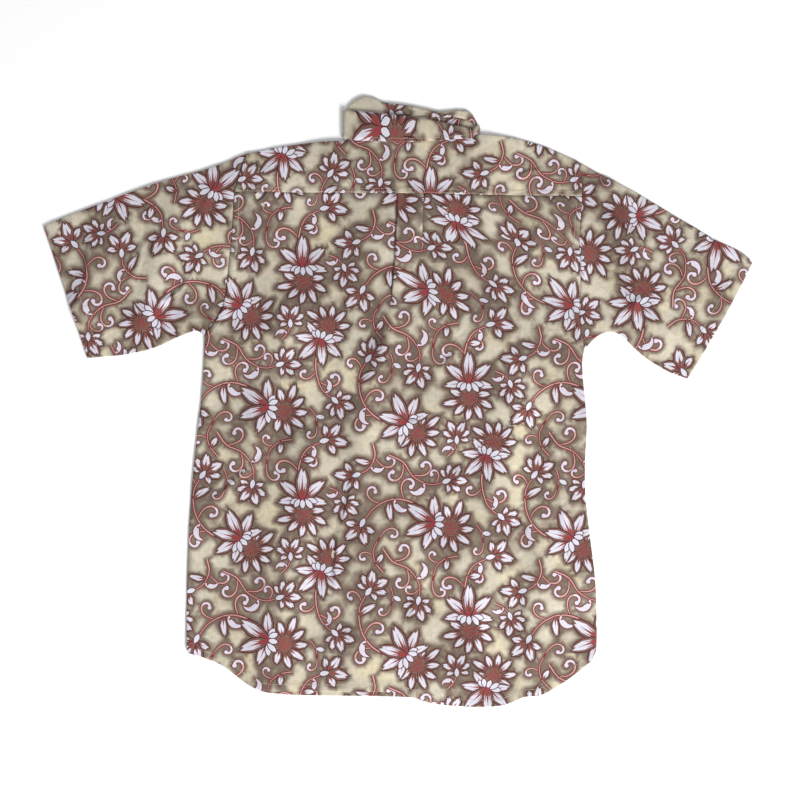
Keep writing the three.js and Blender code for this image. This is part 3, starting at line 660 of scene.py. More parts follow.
# Raised edges: a hem is two layers as far as its width, a lapped seam likewise, and both pucker.
def edgeRelief(points, line, width, rise, pucker=0.22, wave=9.0, roll=0.3):
    away, along = toLine(points, line)
    height = rise * plateau(away, width - 0.9, width + 0.5)
    height -= roll * np.clip(1 - away / 1.3, 0, 1) ** 2
    beat = np.sin(along * fullTurn / wave + 1.9 * np.sin(along * 0.043))
    beat *= 0.65 + 0.35 * np.sin(along * 0.11)
    return height + pucker * beat * np.exp(-((away - width) / (0.55 * width)) ** 2)


def facing(side, heightAt):   # plan to the outer and inner points of a layer that faces up (1) or down (-1)
    def surface(way):
        def at(points):
            z = heightAt(points[:, 0], points[:, 1])
            return np.column_stack([points, z + way * side * cloth["thick"] / 2])
        return at
    return surface(1), surface(-1)


# Carries the cloth round a fold from the upper to the lower panel, outer side and inner side.
def addFold(sheet, upper, lower, name, line, border):
    along = runLength(line)
    outward = leftOf(np.gradient(line, axis=0)) * (-1 if signedArea(border) > 0 else 1)
    ends = []
    for key, angles, bulge in (("outer", (62, 22, -22, -62), 0.9), ("inner", (0,), 0.75)):
        a, ta = upper[key]["chains"][name]
        b, tb = lower[key]["chains"][name]
        above, near, flat = sheet.pointsOf(a)
        lowZ = np.interp(ta, tb, sheet.pointsOf(b)[0][:, 2])
        middle, radius = (above[:, 2] + lowZ) / 2, (above[:, 2] - lowZ) / 2
        n = np.column_stack([np.interp(ta, along, outward[:, k]) for k in (0, 1)])
        rows, ink = [a], chainInk(upper[key], name)
        for angle in angles:
            c, s = math.cos(math.radians(angle)), math.sin(math.radians(angle))
            at = np.column_stack([above[:, :2] + n * (radius * c * bulge)[:, None], middle + radius * s])
            rows.append(sheet.addPoints(at, near, flat + n * (radius * c)[:, None]))
        for p, q in zip(rows[:-1], rows[1:]):
            for k in range(len(p) - 1):
                sheet.faces += [(p[k], p[k + 1], q[k + 1]), (p[k], q[k + 1], q[k])]
                sheet.ink += [ink[k], ink[k]]
        sheet.lace(rows[-1], ta, b, tb, ink)
        ends.append([[row[0] for row in rows] + [b[0]], [row[-1] for row in rows] + [b[-1]]])
    for outerEnd, innerEnd in zip(*ends):
        sheet.lace(outerEnd, np.linspace(0, 1, len(outerEnd)), innerEnd, np.linspace(0, 1, len(innerEnd)))


panelSteps = (cloth["gridStep"], cloth["innerStep"])


# Both sides of a panel. way: its outer side faces up (1) or down (-1), or the inner side isn't drawn in (0).
def addPanel(sheet, loop, sides, motifs, lines=(), way=1, steps=panelSteps, innerMotifs=()):
    outer = makeSkin(loop, sides[0], motifs, steps[0], lines)
    inner = makeSkin(loop, sides[1], innerMotifs, steps[1], lines)
    if way:   # the coarser inner side is drawn in over the creases, so that it never comes through
        base = inner["at"][:, 2] * way
        least = base.copy()
        for angle in np.radians(range(0, 360, 45)):
            around = inner["flat"] + 0.6 * steps[1] * np.array([math.cos(angle), math.sin(angle)])
            least = np.minimum(least, way * sides[1](around)[:, 2])
        deep = np.minimum(base - least + 0.06, cloth["drawIn"])
        edge = np.concatenate([line for _, line in loop])
        inner["at"][:, 2] -= way * deep * smooth(toLine(inner["flat"], edge)[0] / 8)
    return {"outer": sheet.addSkin(outer), "inner": sheet.addSkin(inner)}


def addRims(sheet, panel, names):
    outer, inner = panel["outer"], panel["inner"]
    for name in names:
        sheet.lace(*outer["chains"][name], *inner["chains"][name], chainInk(outer, name))


def mirrorIn(a, b):   # turns a plan over about the line from a to b
    axis = (b - a) / np.linalg.norm(b - a)
    def mirrored(points):
        rel = points - a
        return a + 2 * (rel @ axis)[:, None] * axis - rel
    return mirrored


tileItems = tile()
# Rows of stitches of each piece: a line on the plan, and the side it is seen from
seamRows = {"collar_leaf": []}
hemWidth = {"cuff": 19, "tail": 11, "armhole": 8, "yoke": 6.5}


# Sleeve: an upper and a lower panel with a fold along the shoulder line and one under the arm.
def makeSleeve(which, material):
    facts = sleeves[which]
    side = facts["side"]
    head, top, under = curve(facts["edge"][:underarm + 1]), curve(facts["top"]), curve(facts["under"])
    t = np.linspace(0, 1, 12)
    cuff = top[-1] + (under[-1] - top[-1]) * t[:, None]
    cuff[:, 0] += facts["cuffBow"] * 4 * t * (1 - t)
    cuff = curve(cuff)
    cuff[0], cuff[-1], head[0], head[-1] = top[-1], under[-1], top[0], under[0]
    loop = [("head", head), ("under", under), ("cuff", cuff[::-1]), ("top", top[::-1])]
    border = borderOf(loop)
    mirrored = mirrorIn(top[0], top[-1])
    motifs = printOver(border, facts["turn"], (side * 31, 17))
    hidden = printOver(mirrored(border), facts["turn"], (side * 31, 17), mirrored)
    def upperHeight(x, y):
        p = np.column_stack([x, y])
        z = upperZ(x, y) + edgeRelief(p, cuff, hemWidth["cuff"], 0.45, 0.3, 13.0)
        return z - 0.35 * np.exp(-(toLine(p, head)[0] / 2.0) ** 2)
    def lowerHeight(x, y):
        relief = edgeRelief(np.column_stack([x, y]), cuff, hemWidth["cuff"], 0.25, 0.0, 13.0)
        return frontZ(x, y) - np.minimum(relief, 0)
    hems = [inset(cuff, -side * d) for d in (0.9, 18.1, 19.5)]
    seamRows["sleeve_" + which] = [(inset(cuff, -side * 17.6)[1:-1], way) for way in (1, -1)]
    sheet = Sheet()
    up = addPanel(sheet, loop, facing(1, upperHeight), motifs, hems + creaseLines(border))
    down = addPanel(sheet, loop, facing(-1, lowerHeight), hidden, hems, -1)
    addFold(sheet, up, down, "top", top[::-1], border)
    addFold(sheet, up, down, "under", under, border)
    addRims(sheet, up, ("head", "cuff"))
    addRims(sheet, down, ("head", "cuff"))
    return makeMesh("sleeve_" + which + "_cloth", sheet, material)


# Back: one panel cut wider by what the box pleat folds under.
def pleatX(y):
    return column(pleat["line"], 0, 1, y)


def pleatTurns(y):   # depths of the two folds, the pleat's sides, and where the cut cloth turns
    d1, d2 = column(pleat["left"], 0, 1, y), column(pleat["right"], 0, 1, y)
    left = pleatX(y)
    right = left + pleat["width"]
    return d1, d2, left, right, [left + d1, left + 2 * d1, right + 2 * d1, right + 2 * d1 + d2]


def unfolded(points):   # from the plan to the cut cloth, which is wider by what lies hidden to the left
    p = np.array(points, float)
    d1, d2, left, right, _ = pleatTurns(p[:, 1])
    p[:, 0] += np.where(p[:, 0] > left, 2 * d1, 0) + np.where(p[:, 0] > right, 2 * d2, 0)
    return p


# From the cut cloth to both sides of the folded panel: inside the pleat the layer goes 0 1 2 1 0.
def backPlace(points):
    s, y = points[:, 0], points[:, 1]
    d1, d2, left, right, turns = pleatTurns(y)
    x = np.select([s <= at for at in turns], [s, 2 * turns[0] - s, s - 2 * d1, 2 * right + 2 * d1 - s],
                  s - 2 * d1 - 2 * d2)
    zones = [s < (p + q) / 2 for p, q in zip(turns, turns[1:])]   # each ends halfway to the next turn
    closed1, closed2 = smooth(d1 / 5), smooth(d2 / 5)
    sideClosed = np.where(zones[1], closed1, closed2)
    rises, bend, bulge = [], np.zeros_like(s), np.zeros_like(s)
    for at, before, after, way in zip(turns, (0, 1, 2, 1), (1, 2, 1, 0), (1, -1, 1, -1)):
        t = np.clip((s - at) / cloth["turn"], -1, 1) * quarterTurn
        rises.append(before + (after - before) * (0.5 + 0.5 * np.sin(t)))
        here = np.abs(s - at) < cloth["turn"]
        bend = np.where(here, np.sign(before - after) * np.cos(t), bend)
        bulge = np.where(here, way * 0.6 * np.cos(t), bulge)
    layer = np.select(zones, rises[:3], rises[3])
    closed = np.where(zones[1], closed1, mix(closed2, closed1, smooth((turns[2] - s) / 20)))
    bend = bend * sideClosed
    x = x + bulge * sideClosed
    up = np.select([s < at for at in turns], [1.0, -1.0, 1.0, -1.0], 1.0)
    up = np.where(np.abs(bend) > 0, up * np.sqrt(np.maximum(1 - bend ** 2, 0)), up)
    pressed = 0.55 + 0.45 * smooth((283 - y) / 26)
    mid = (x - left - pleat["width"] / 2) / (pleat["width"] / 2 + 14)
    ridge = pleat["ridge"] * np.where(mid < 0, plateau(-mid, 0.15, 0.8), plateau(mid, 0.1, 1.25))
    ridge = ridge * (1 - closed1) * smooth((170 - y) / 60 + 0.2) * (1 - 0.45 * smooth((-60 - y) / 60))
    lift = cloth["pitch"] * layer * closed * pressed + ridge
    z = upperZ(x, y) + lift + backRelief(np.column_stack([x, y]))
    normal = np.column_stack([bend, np.zeros_like(s), up])
    normal /= np.maximum(np.linalg.norm(normal, axis=1, keepdims=True), 1e-6)
    at, half = np.column_stack([x, y, z]), cloth["thick"] / 2
    return at + normal * half, at - normal * half


backLines = {}   # the back's hem, armholes and yoke seam, once they are drawn


def backRelief(points):
    z = edgeRelief(points, backLines["hem"], hemWidth["tail"], 0.45, 0.3, 10.0)
    for edge in ("left", "right"):
        z += edgeRelief(points, backLines[edge], hemWidth["armhole"], 0.5, 0.18, 11.0, 0.0)
    return z - 0.35 * np.exp(-(toLine(points, backLines["seam"])[0] / 3.0) ** 2)


def yokeSeamLine(seam):   # the seam on the cut cloth, with points close on both sides of each turn
    y = float(np.interp(0, seam[:, 0], seam[:, 1]))
    _, d2, left, right, turns = pleatTurns(y)
    slope = (seam[-1, 1] - seam[0, 1]) / (seam[-1, 0] - seam[0, 0])
    key = [(seam[0, 0], seam[0, 1])]
    for s, x in zip(turns, (turns[0], left, right, right - d2)):
        height = seam[0, 1] + slope * (x - seam[0, 0])
        key += [(s + move, height) for move in (-cloth["turn"], 0, cloth["turn"])]
    key.append(tuple(unfolded(seam[-1:])[0]))
    line = []
    for p, q in zip(key[:-1], key[1:]):
        n = max(1, int(abs(q[0] - p[0]) / cloth["edgeStep"]))
        line += [(mix(p[0], q[0], k / n), mix(p[1], q[1], k / n)) for k in range(n)]
    return np.array(line + [key[-1]]), y


def pleatLines(top):   # down both sides of each turn, as far as the fold stays closed
    rows, lines = np.linspace(top, 128, 42), []
    for which, stop in enumerate((130, 130, 214, 214)):
        for move in (-cloth["turn"], 0, cloth["turn"]):
            line = []
            for y in rows[rows >= stop]:
                d1, d2, _, _, turns = pleatTurns(y)
                line.append((turns[which] + move * min(1, (d1 if which < 2 else d2) / 2), y))
            lines.append(np.array(line))
    return lines


def makeBack(material):
    left = partOf(curve(leftEdge[:underarm + 1]), leftEdge[yokeRow])
    right = partOf(curve(rightEdge[:underarm + 1]), rightEdge[yokeRow])
    leftSide, rightSide = curve(leftEdge[underarm:]), curve(rightEdge[underarm:])
    hem, seam = curve(backHem), curve([leftEdge[yokeRow], rightEdge[yokeRow]])
    backLines.update(hem=hem, left=left, right=right, seam=seam)
    topLine, seamY = yokeSeamLine(seam)
    loop = [("armLeft", left), ("sideLeft", leftSide), ("hem", hem), ("sideRight", unfolded(rightSide)[::-1]),
            ("armRight", unfolded(right)[::-1]), ("seam", topLine[::-1])]
    border = borderOf(loop)
    lines = pleatLines(seamY + 3) + [inset(hem, d) for d in (0.9, 10.1, 11.5)]
    lines += [unfolded(inset(right, -d)) for d in (7.2, 8.5)] + [inset(left, d) for d in (7.2, 8.5)]
    def clearOfPleat(line):
        x, y = line[:, 0], line[:, 1]
        return not ((y > 125) & (x > pleatX(y) - 4) & (x < pleatX(y) + pleat["width"] + 64)).any()
    lines += [line for line in creaseLines(border, unfolded) if clearOfPleat(line)]
    seamRows["back"] = [(inset(hem, 9.6)[2:-2], 1), (inset(right, -6.8), 1), (inset(left, 6.8), 1)]
    motifs = printOver(border, 0, (12, -30))
    sheet = Sheet()
    sides = (lambda points: backPlace(points)[0], lambda points: backPlace(points)[1])
    panel = addPanel(sheet, loop, sides, motifs, lines, 1, (9.2, 10.5))
    addRims(sheet, panel, dict(loop))
    return makeMesh("back_cloth", sheet, material)


# Fronts: face down, button edge over buttonhole edge.
neckCorner = {-1: ((-62, 325), (-60, 350.1)), 1: ((98, 333.5), (96, 358))}
frontFacts = {"lap": 17, "turned": 30}   # buttons' line to the edge, and the width that is turned in


def makeFront(which, side, material):
    edge = leftEdge if side < 0 else rightEdge
    arm = partOf(curve(edge[:underarm + 1]), edge[frontRow])
    arm[0, 1] -= 0.3
    sideLine = curve(edge[underarm:]) + [-side * 1.5, 0]
    sideLine[0] = arm[-1]
    hemEnd = sideLine[-1]
    hemEnd[1] = column(frontHem, 0, 1, hemEnd[0])
    (seamX, seamY), corner = neckCorner[side]
    def lapX(y):
        return float(centreX(y) - side * frontFacts["lap"])
    lapTop = (lapX(355), float(np.interp(lapX(355), [-60, 96], [350.1, 358])))
    hemX = lapX(-400)
    hem = curve(frontHem)
    hem = hem[(hem[:, 0] * side > hemX * side + 1.5) & (hem[:, 0] * side < hemEnd[0] * side - 1.5)]
    hemLow = (hemX, float(column(frontHem, 0, 1, hemX)))
    hem = np.concatenate([[hemEnd], hem[np.argsort(-side * hem[:, 0])], [hemLow]])
    seam = curve([(seamX, seamY - 0.3), arm[0]])
    neck = np.concatenate([curve([lapTop, corner]), curve([corner, (seamX, seamY - 0.3)])[1:]])
    lapLine = curve([hemLow, lapTop])
    loop = [("arm", arm), ("side", sideLine), ("hem", hem), ("lap", lapLine), ("neck", neck), ("seam", seam)]
    border = borderOf(loop)
    height = frontZ if side < 0 else lapZ
    def heightAt(x, y):
        return height(x, y) + 0.15 * edgeRelief(np.column_stack([x, y]), hem, hemWidth["tail"], 1.0, 0.0)
    motifs = printOver(border, 0, (60 * side, 70))
    hemMotifs = [part for part in printOver(border, 0, (12, -30)) if part[1][:, 1].min() < -388]
    turned = frontFacts["turned"]
    seamRows["front_" + which] = [(inset(lapLine, side * d)[3:-6], -1) for d in (2.5, turned)] + [
        (inset(hem, -side * 9.6)[3:-3], -1), (inset(seam, side * 3.0)[2:-2], -1)]
    lines = [inset(lapLine, side * d) for d in (0.9, turned, turned + 1)]
    lines += [inset(hem, -side * d) for d in (0.9, 11)]
    sheet = Sheet()
    panel = addPanel(sheet, loop, facing(-1, heightAt), motifs, lines, -1, innerMotifs=hemMotifs)
    addRims(sheet, panel, dict(loop))
    return makeMesh("front_" + which + "_cloth", sheet, material)


# Yoke: over both shoulders, from the back seam to the two front seams.
collarBack = [(-73.5, 357.6, 391, 397.5, 358.8), (-62, 361, 391, 397.5, 356.5), (-10, 362, 386, 392, 354.5),
              (18, 361, 383, 389, 354), (50, 361, 378, 384, 355), (80, 362, 370, 376.5, 358),
              (104, 363, 367, 372.5, 360), (108.6, 366, 371, 378, 368.5)]
collarFront = [(-73.5, 357.6, 391, 397.5, 358.8), (-62, 351, 387, 411, 352), (-48, 350.9, 387, 418, 345),
               (-33, 351.7, 387, 415.5, 338), (-22, 352.3, 387, 409.5, 333), (17, 354.3, 389, 404.5, 322),
               (56, 356.3, 388.5, 396, 334), (82, 357.6, 388, 399, 350), (96, 358.3, 384, 397.5, 362),
               (104, 362, 378, 389.5, 366), (108.6, 366, 371, 378, 368.5)]
yokeBow = {-1: 3.6, 1: 9.4}   # of the shoulder folds


def makeYoke(material):
    armL = partOf(curve(leftEdge[:underarm + 1])[::-1], leftEdge[yokeRow])
    armR = partOf(curve(rightEdge[:underarm + 1])[::-1], rightEdge[yokeRow])
    armL[0, 1] += 0.1
    armR[0, 1] += 0.1
    neck = curve([(-73.5, 355.3)] + [(x, n - 0.3) for x, n, *_ in collarBack[1:-1]] + [(108.6, 363.7)])
    t = np.linspace(0, 1, 40)[:, None]
    def shoulder(neckEnd, armEnd, bow):
        line = neckEnd + (np.array(armEnd) - neckEnd) * t
        line[:, 1:] += bow * 4 * t * (1 - t)
        return line
    foldL, foldR = shoulder(neck[0], armL[-1], yokeBow[-1]), shoulder(neck[-1], armR[-1], yokeBow[1])
    seam = curve([armR[0], armL[0]])
    loop = [("armL", armL), ("foldL", foldL[::-1]), ("neck", neck), ("foldR", foldR), ("armR", armR[::-1]),
            ("seam", seam)]
    border = borderOf(loop)
    def heightAt(x, y):
        p = np.column_stack([x, y])
        z = upperZ(x, y) + edgeRelief(p, seam, hemWidth["yoke"], 0.55, 0.16, 12.0, 0.35)
        z += 1.5 * plateau(np.abs(x - 17), 16, 40) * plateau(toLine(p, seam)[0], 2, 26)
        for arm in (armL, armR):
            z += edgeRelief(p, arm, hemWidth["armhole"], 0.5, 0.18, 11.0, 0.0)
        return z
    seamRows["yoke"] = [(inset(seam, -d)[1:-1], 1) for d in (1.6, 6.2)] + [
        (inset(armL, -6.8)[1:], 1), (inset(armR, 6.8)[1:], 1)]
    sheet = Sheet()
    lines = [inset(seam, d) for d in (-0.9, -6, -7.2)] + creaseLines(border)
    up = addPanel(sheet, loop, facing(1, heightAt), printOver(border, 0, (-40, -95)), lines)
    for name, side, fold, arm in (("foldL", -1, foldL[::-1], armL), ("foldR", 1, foldR, armR)):
        corner = neckCorner[side][0]
        armUnder = partOf(arm, (leftEdge if side < 0 else rightEdge)[frontRow])
        if side < 0:
            lower = [(name, fold), ("neck", curve([fold[-1], corner])),
                     ("seam", curve([corner, armUnder[0]])), ("arm", armUnder)]
        else:
            lower = [(name, fold), ("arm", armUnder[::-1]), ("seam", curve([armUnder[0], corner])),
                     ("neck", curve([corner, fold[0]]))]
        mirrored = mirrorIn(*((fold[-1], fold[0]) if side < 0 else (fold[0], fold[-1])))
        outline = mirrored(np.concatenate([line for _, line in lower]))
        hidden = printOver(outline, 0, (-40, -95), mirrored)
        down = addPanel(sheet, lower, facing(-1, frontZ), hidden, (), -1)
        addFold(sheet, up, down, name, fold, border)
        addRims(sheet, down, ("neck", "seam", "arm"))
    addRims(sheet, up, ("armL", "neck", "armR", "seam"))
    return makeMesh("yoke_cloth", sheet, material)


# Collar: sections round the flattened ring, from the buttonhole end to the button end.
sectionKeys = ("neck", "seam", "fold", "edge")


def sectionAt(rows, x):
    return {"x": x, **{name: float(column(rows, 0, k + 1, x)) for k, name in enumerate(sectionKeys)}}


def ringSections(lap):
    centre = float(centreX(357))
    def front(x, z):
        spread = -np.sign(centre - x) * 26 * max(0.0, min(1.0, 1 - abs(x - centre) / 60))
        return {**sectionAt(collarFront, x), "z": z, "out": (0, -1), "reach": z - 0.7, "spread": spread,
                "over": False}
    leftXs = list(np.linspace(centre - 0.1, -73.5, 14))
    rightXs = list(np.linspace(108.6, centre + 0.1, 14))
    if lap:
        leftXs.insert(0, centre + lap)
        rightXs.append(centre - lap)
    def meeting(x):   # without a lap both ends come to one height
        return 0.0 if lap else cloth["pitch"] / 2 * float(plateau(abs(x - centre), 4, 40))
    def lapped(x):
        return cloth["pitch"] * float(plateau(x, centre + 17, centre + 51))
    low = 0.6 + cloth["button"]
    left = [front(x, low + meeting(x)) for x in leftXs]
    right = [front(x, low + lapped(x) - meeting(x)) for x in rightXs]
    back = []
    for x in np.linspace(-73.5, 108.6, 27):
        r = sectionAt(collarBack, x)
        z = float(0.6 + cloth["pitch"] + cloth["button"] * collarZone(x, r["neck"], 24)) + 0.15
        back.append({**r, "z": z, "out": (0, 1), "reach": cloth["pitch"] + 0.3, "spread": 0, "over": True})
    def turn(a, b, side):   # round the ring's end
        out = []
        for t in (0.2, 0.5, 0.8):
            c, s = math.cos(math.pi * (t - 0.5)), math.sin(math.pi * (t - 0.5))
            radius = (b["z"] - a["z"]) / 2
            section = {key: mix(a[key], b[key], t) for key in sectionKeys + ("reach",)}
            section.update(x=a["x"] + side * radius * c, z=(a["z"] + b["z"]) / 2 + radius * s)
            section.update(out=(side * c, s), spread=0, over=False)
            out.append(section)
        return out
    return left + turn(left[-1], back[0], -1) + back + turn(right[0], back[-1], 1)[::-1] + right


def leafRow(section):   # up from the stand, over the fold and down to the edge
    curlBack = section["reach"] / 2 + 0.6
    ox, oz = section["out"][0] * section["reach"], section["out"][1] * section["reach"]
    def place(y, out, along):
        return (section["x"] + section["spread"] * along + ox * out, y, section["z"] + oz * out)
    foot, top = section["seam"] + 0.3, section["fold"] - 0.7
    row = [place(foot, 0, 0), place(mix(foot, section["fold"] - curlBack, 0.55), 0, 0),
           place(section["fold"] - curlBack, 0, 0), place(top, 0.22, 0), place(top + 0.35, 0.5, 0),
           place(top, 0.78, 0)]
    for t in np.linspace(0, 1, 6):
        x, y, z = place(mix(section["fold"] - curlBack, section["edge"], t), 1, t)
        if section["over"]:
            rest = float(upperZ(np.array([x]), np.array([y]))[0])
            z = max(z, rest + section["reach"] - 0.1 + 0.5 * math.sin(math.pi * t))
        row.append((x, y, z))
    return row


def standRow(section):
    heights = [mix(section["neck"], section["seam"], t) for t in np.linspace(0, 1, 5)]
    return [(section["x"], y, section["z"]) for y in heights]


def refined(grid, times):   # the same grid with smooth points between its own
    g = np.array(grid, float)
    for axis in (0, 1):
        g = np.moveaxis(g, axis, 0)
        n = len(g)
        t = np.linspace(0, n - 1, (n - 1) * times + 1)
        i = np.minimum(t.astype(int), n - 2)
        f = (t - i)[:, None, None]
        p0, p1, p2, p3 = g[np.maximum(i - 1, 0)], g[i], g[i + 1], g[np.minimum(i + 2, n - 1)]
        m1, m2 = (p2 - p0) / 2, (p3 - p1) / 2
        g = ((2 * f ** 3 - 3 * f ** 2 + 1) * p1 + (f ** 3 - 2 * f ** 2 + f) * m1 * 0.8
             + (3 * f ** 2 - 2 * f ** 3) * p2 + (f ** 3 - f ** 2) * m2 * 0.8)
        g = np.moveaxis(g, 0, axis)
    return g


bands = {   # half the thickness, the print's place, and where the inside is plain
    "leaf": {"half": 0.55, "shift": (20, 40), "bare": (38, 92)},
    "stand": {"half": 0.5, "shift": (70, 10), "bare": (0, 0)},
    "grid": 3.5,
    "welt": (4.5, 0.25),   # the stitched groove's place and depth
    "inside": (90, 60),    # how far the print on the inside is moved
}


def makeBand(name, grid, facts, material):
    g = refined(grid, 4)
    half, (groove, deep) = facts["half"], bands["welt"]
    normal = np.cross(np.gradient(g, axis=0), np.gradient(g, axis=1))
    normal /= np.maximum(np.linalg.norm(normal, axis=2, keepdims=True), 1e-9)
    u = np.concatenate([[0], np.cumsum(np.linalg.norm(np.diff(g, axis=0), axis=2).mean(1))])
    long = np.linalg.norm(np.diff(g, axis=1), axis=2).sum(1)
    def at(points, side):
        i = np.clip(np.interp(points[:, 0], u, np.arange(len(u))), 0, len(u) - 1.0001)
        length = np.interp(points[:, 0], u, long)
        j = np.clip(points[:, 1] / length, 0, 0.99999) * (g.shape[1] - 1)
        a, b = i.astype(int), j.astype(int)
        f, h = (i - a)[:, None], (j - b)[:, None]
        def pick(m):
            return (m[a, b] * (1 - f) * (1 - h) + m[a + 1, b] * f * (1 - h)
                    + m[a, b + 1] * (1 - f) * h + m[a + 1, b + 1] * f * h)
        n = pick(normal)
        n /= np.maximum(np.linalg.norm(n, axis=1, keepdims=True), 1e-9)
        edge = np.minimum(np.minimum(points[:, 0], u[-1] - points[:, 0]), length - points[:, 1])
        thick = half - deep * np.exp(-((edge - groove) / 1.1) ** 2)
        thick -= 0.5 * half * np.clip(1 - edge / 1.2, 0, 1) ** 2
        return pick(g) + n * (side * thick)[:, None]
    bottom = curve(np.column_stack([u, long])[::4])
    bottom[0], bottom[-1] = (u[0], long[0]), (u[-1], long[-1])
    loop = [("seam", curve([(0, 0), (u[-1], 0)])), ("end", curve([(u[-1], 0), (u[-1], long[-1])])),
            ("edge", bottom[::-1]), ("start", curve([(0, long[0]), (0, 0)]))]
    corners = np.array([[0, -long.max()], [u[-1], 0]])
    def flipped(p):
        return np.column_stack([p[:, 0], -p[:, 1]])
    motifs = printOver(corners, 0, facts["shift"], flipped)
    other = printOver(corners, 0, np.add(facts["shift"], bands["inside"]), flipped)
    first, last = facts["bare"]
    other = [part for part in other if part[1][:, 0].max() < first or part[1][:, 0].min() > last]
    sheet = Sheet()
    sides = (lambda points: at(points, 1), lambda points: at(points, -1))
    panel = addPanel(sheet, loop, sides, motifs, (), 0, (bands["grid"], bands["grid"]), other)
    addRims(sheet, panel, dict(loop))
    return makeMesh(name, sheet, material)


# Shared effects: each group puts out colours, masks, heights or a painted shade only.
def newGroup(name, inputs, outputs):
    group = bpy.data.node_groups.new(name, "ShaderNodeTree")
    for label, kind, value in inputs:
        socket = group.interface.new_socket(name=label, in_out="INPUT", socket_type="NodeSocket" + kind)
        if value is not None:
            socket.default_value = value
    for label, kind in outputs:
        group.interface.new_socket(name=label, in_out="OUTPUT", socket_type="NodeSocket" + kind)
    return group, group.nodes.new("NodeGroupInput").outputs, group.nodes.new("NodeGroupOutput").inputs


def node(tree, kind, inputs=(), **settings):   # an input takes a value or another node's output
    made = tree.nodes.new("ShaderNode" + kind)
    for key, value in settings.items():
        setattr(made, key, value)
    for key, value in dict(inputs).items():
        if isinstance(value, bpy.types.NodeSocket):
            tree.links.new(value, made.inputs[key])
        else:
            made.inputs[key].default_value = value
    return made


def maths(tree, operation, *values):
    return node(tree, "Math", dict(enumerate(values)), operation=operation).outputs[0]


def ranged(tree, value, low, high, toLow=0.0, toHigh=1.0, kind="LINEAR"):
    return node(tree, "MapRange", {"Value": value, "From Min": low, "From Max": high, "To Min": toLow,
                                   "To Max": toHigh}, interpolation_type=kind).outputs[0]


def mixed(tree, factor, a, b):
    return node(tree, "Mix", {"Factor": factor, "A": a, "B": b}, data_type="RGBA").outputs["Result"]


def noise(tree, vector, scale, detail, roughness, distortion=0.0):
    return node(tree, "TexNoise", {"Vector": vector, "Scale": scale, "Detail": detail, "Roughness": roughness,
                                   "Distortion": distortion}).outputs["Fac"]


def makeWeaveGroup():   # crossed threads, and slubs that run along them
    group, start, end = newGroup("clothWeave", [
        ("Vector", "Vector", None), ("Threads", "Float", 2100.0), ("Slub", "Float", 0.5)],
        [("Height", "Float"), ("Tone", "Float")])
    split = node(group, "SeparateXYZ", {0: start["Vector"]}).outputs
    threads, slubs = [], []
    for axis, other in (("X", "Y"), ("Y", "X")):
        turns = maths(group, "MULTIPLY", split[axis], start["Threads"])
        threads.append(maths(group, "SINE", maths(group, "MULTIPLY", turns, fullTurn)))
        along = maths(group, "MULTIPLY", split[other], 26.0)
        across = maths(group, "MULTIPLY", split[axis], 900.0)
        stretched = node(group, "CombineXYZ", {0: along, 1: across}).outputs[0]
        slubs.append(noise(group, stretched, 1.0, 3.0, 0.6))
    tone = maths(group, "ADD", *slubs)
    height = maths(group, "MULTIPLY_ADD", tone, start["Slub"], maths(group, "MULTIPLY", *threads))
    group.links.new(height, end["Height"])
    group.links.new(tone, end["Tone"])
    return group


def makeDyeAndShadeGroup():   # the ground: taupe round the motifs, open between them, darkest along their edges; and a painted shade of soft folds in large random patches
    dyes = ("Open", "Warm", "Taupe", "Dark")
    group, start, end = newGroup("airbrushedDyeAndPaintedShade", [("Vector", "Vector", None), ("Near", "Float", 0.0)] + [
        (name, "Color", (0.5, 0.5, 0.5, 1)) for name in dyes], [("Color", "Color"), ("PaintedShade", "Float")])
    cloud = noise(group, start["Vector"], 30.0, 3.0, 0.55)
    patch = noise(group, start["Vector"], 16.0, 2.0, 0.5)
    fine = noise(group, start["Vector"], 150.0, 2.0, 0.6)
    wide = noise(group, start["Vector"], 9.0, 2.0, 0.5)
    # distance to the motifs, pushed in and out by the clouds
    pushed = maths(group, "MULTIPLY_ADD", cloud, 11.0, -5.0)
    broad = maths(group, "MULTIPLY_ADD", wide, 16.0, -7.5)
    away = maths(group, "ADD", start["Near"], maths(group, "ADD", pushed, broad))
    opened = ranged(group, away, 1.0, 9.5, kind="SMOOTHSTEP")
    hug = ranged(group, start["Near"], 0.0, 5.5, 1.0, 0.0, "SMOOTHSTEP")
    base = mixed(group, ranged(group, patch, 0.48, 0.68), start["Open"], start["Warm"])
    base = mixed(group, opened, start["Taupe"], base)
    base = mixed(group, maths(group, "MULTIPLY", hug, 0.55), base, start["Dark"])
    grain = node(group, "HueSaturation", {"Value": ranged(group, fine, 0.3, 0.7, 0.9, 1.1), "Color": base})
    group.links.new(grain.outputs[0], end["Color"])
    # painted shade: large random darker and lighter patches that stand in for the shading of soft folds, over
    # print and ground alike
    group.links.new(ranged(group, wide, 0.34, 0.66, 0.88, 1.1), end["PaintedShade"])
    return group


def makeRumpleGroup():   # the soft unevenness of worn cloth
    group, start, end = newGroup("softRumple", [("Vector", "Vector", None), ("Scale", "Float", 26.0)],
                                 [("Height", "Float")])
    group.links.new(noise(group, start["Vector"], start["Scale"], 3.0, 0.45, 1.1), end["Height"])
    return group


weaveGroup, dyeAndShadeGroup, rumpleGroup = makeWeaveGroup(), makeDyeAndShadeGroup(), makeRumpleGroup()
clothLook = {
    "open": (0.525, 0.472, 0.375, 1), "warm": (0.560, 0.485, 0.335, 1),
    "taupe": (0.242, 0.187, 0.140, 1), "dark": (0.074, 0.049, 0.037, 1),
    "threads": 2100.0, "roughness": 0.86, "sheen": 0.10, "bump": 0.35, "threadHeight": 0.00018,
    "rumple": 0.0022,
}


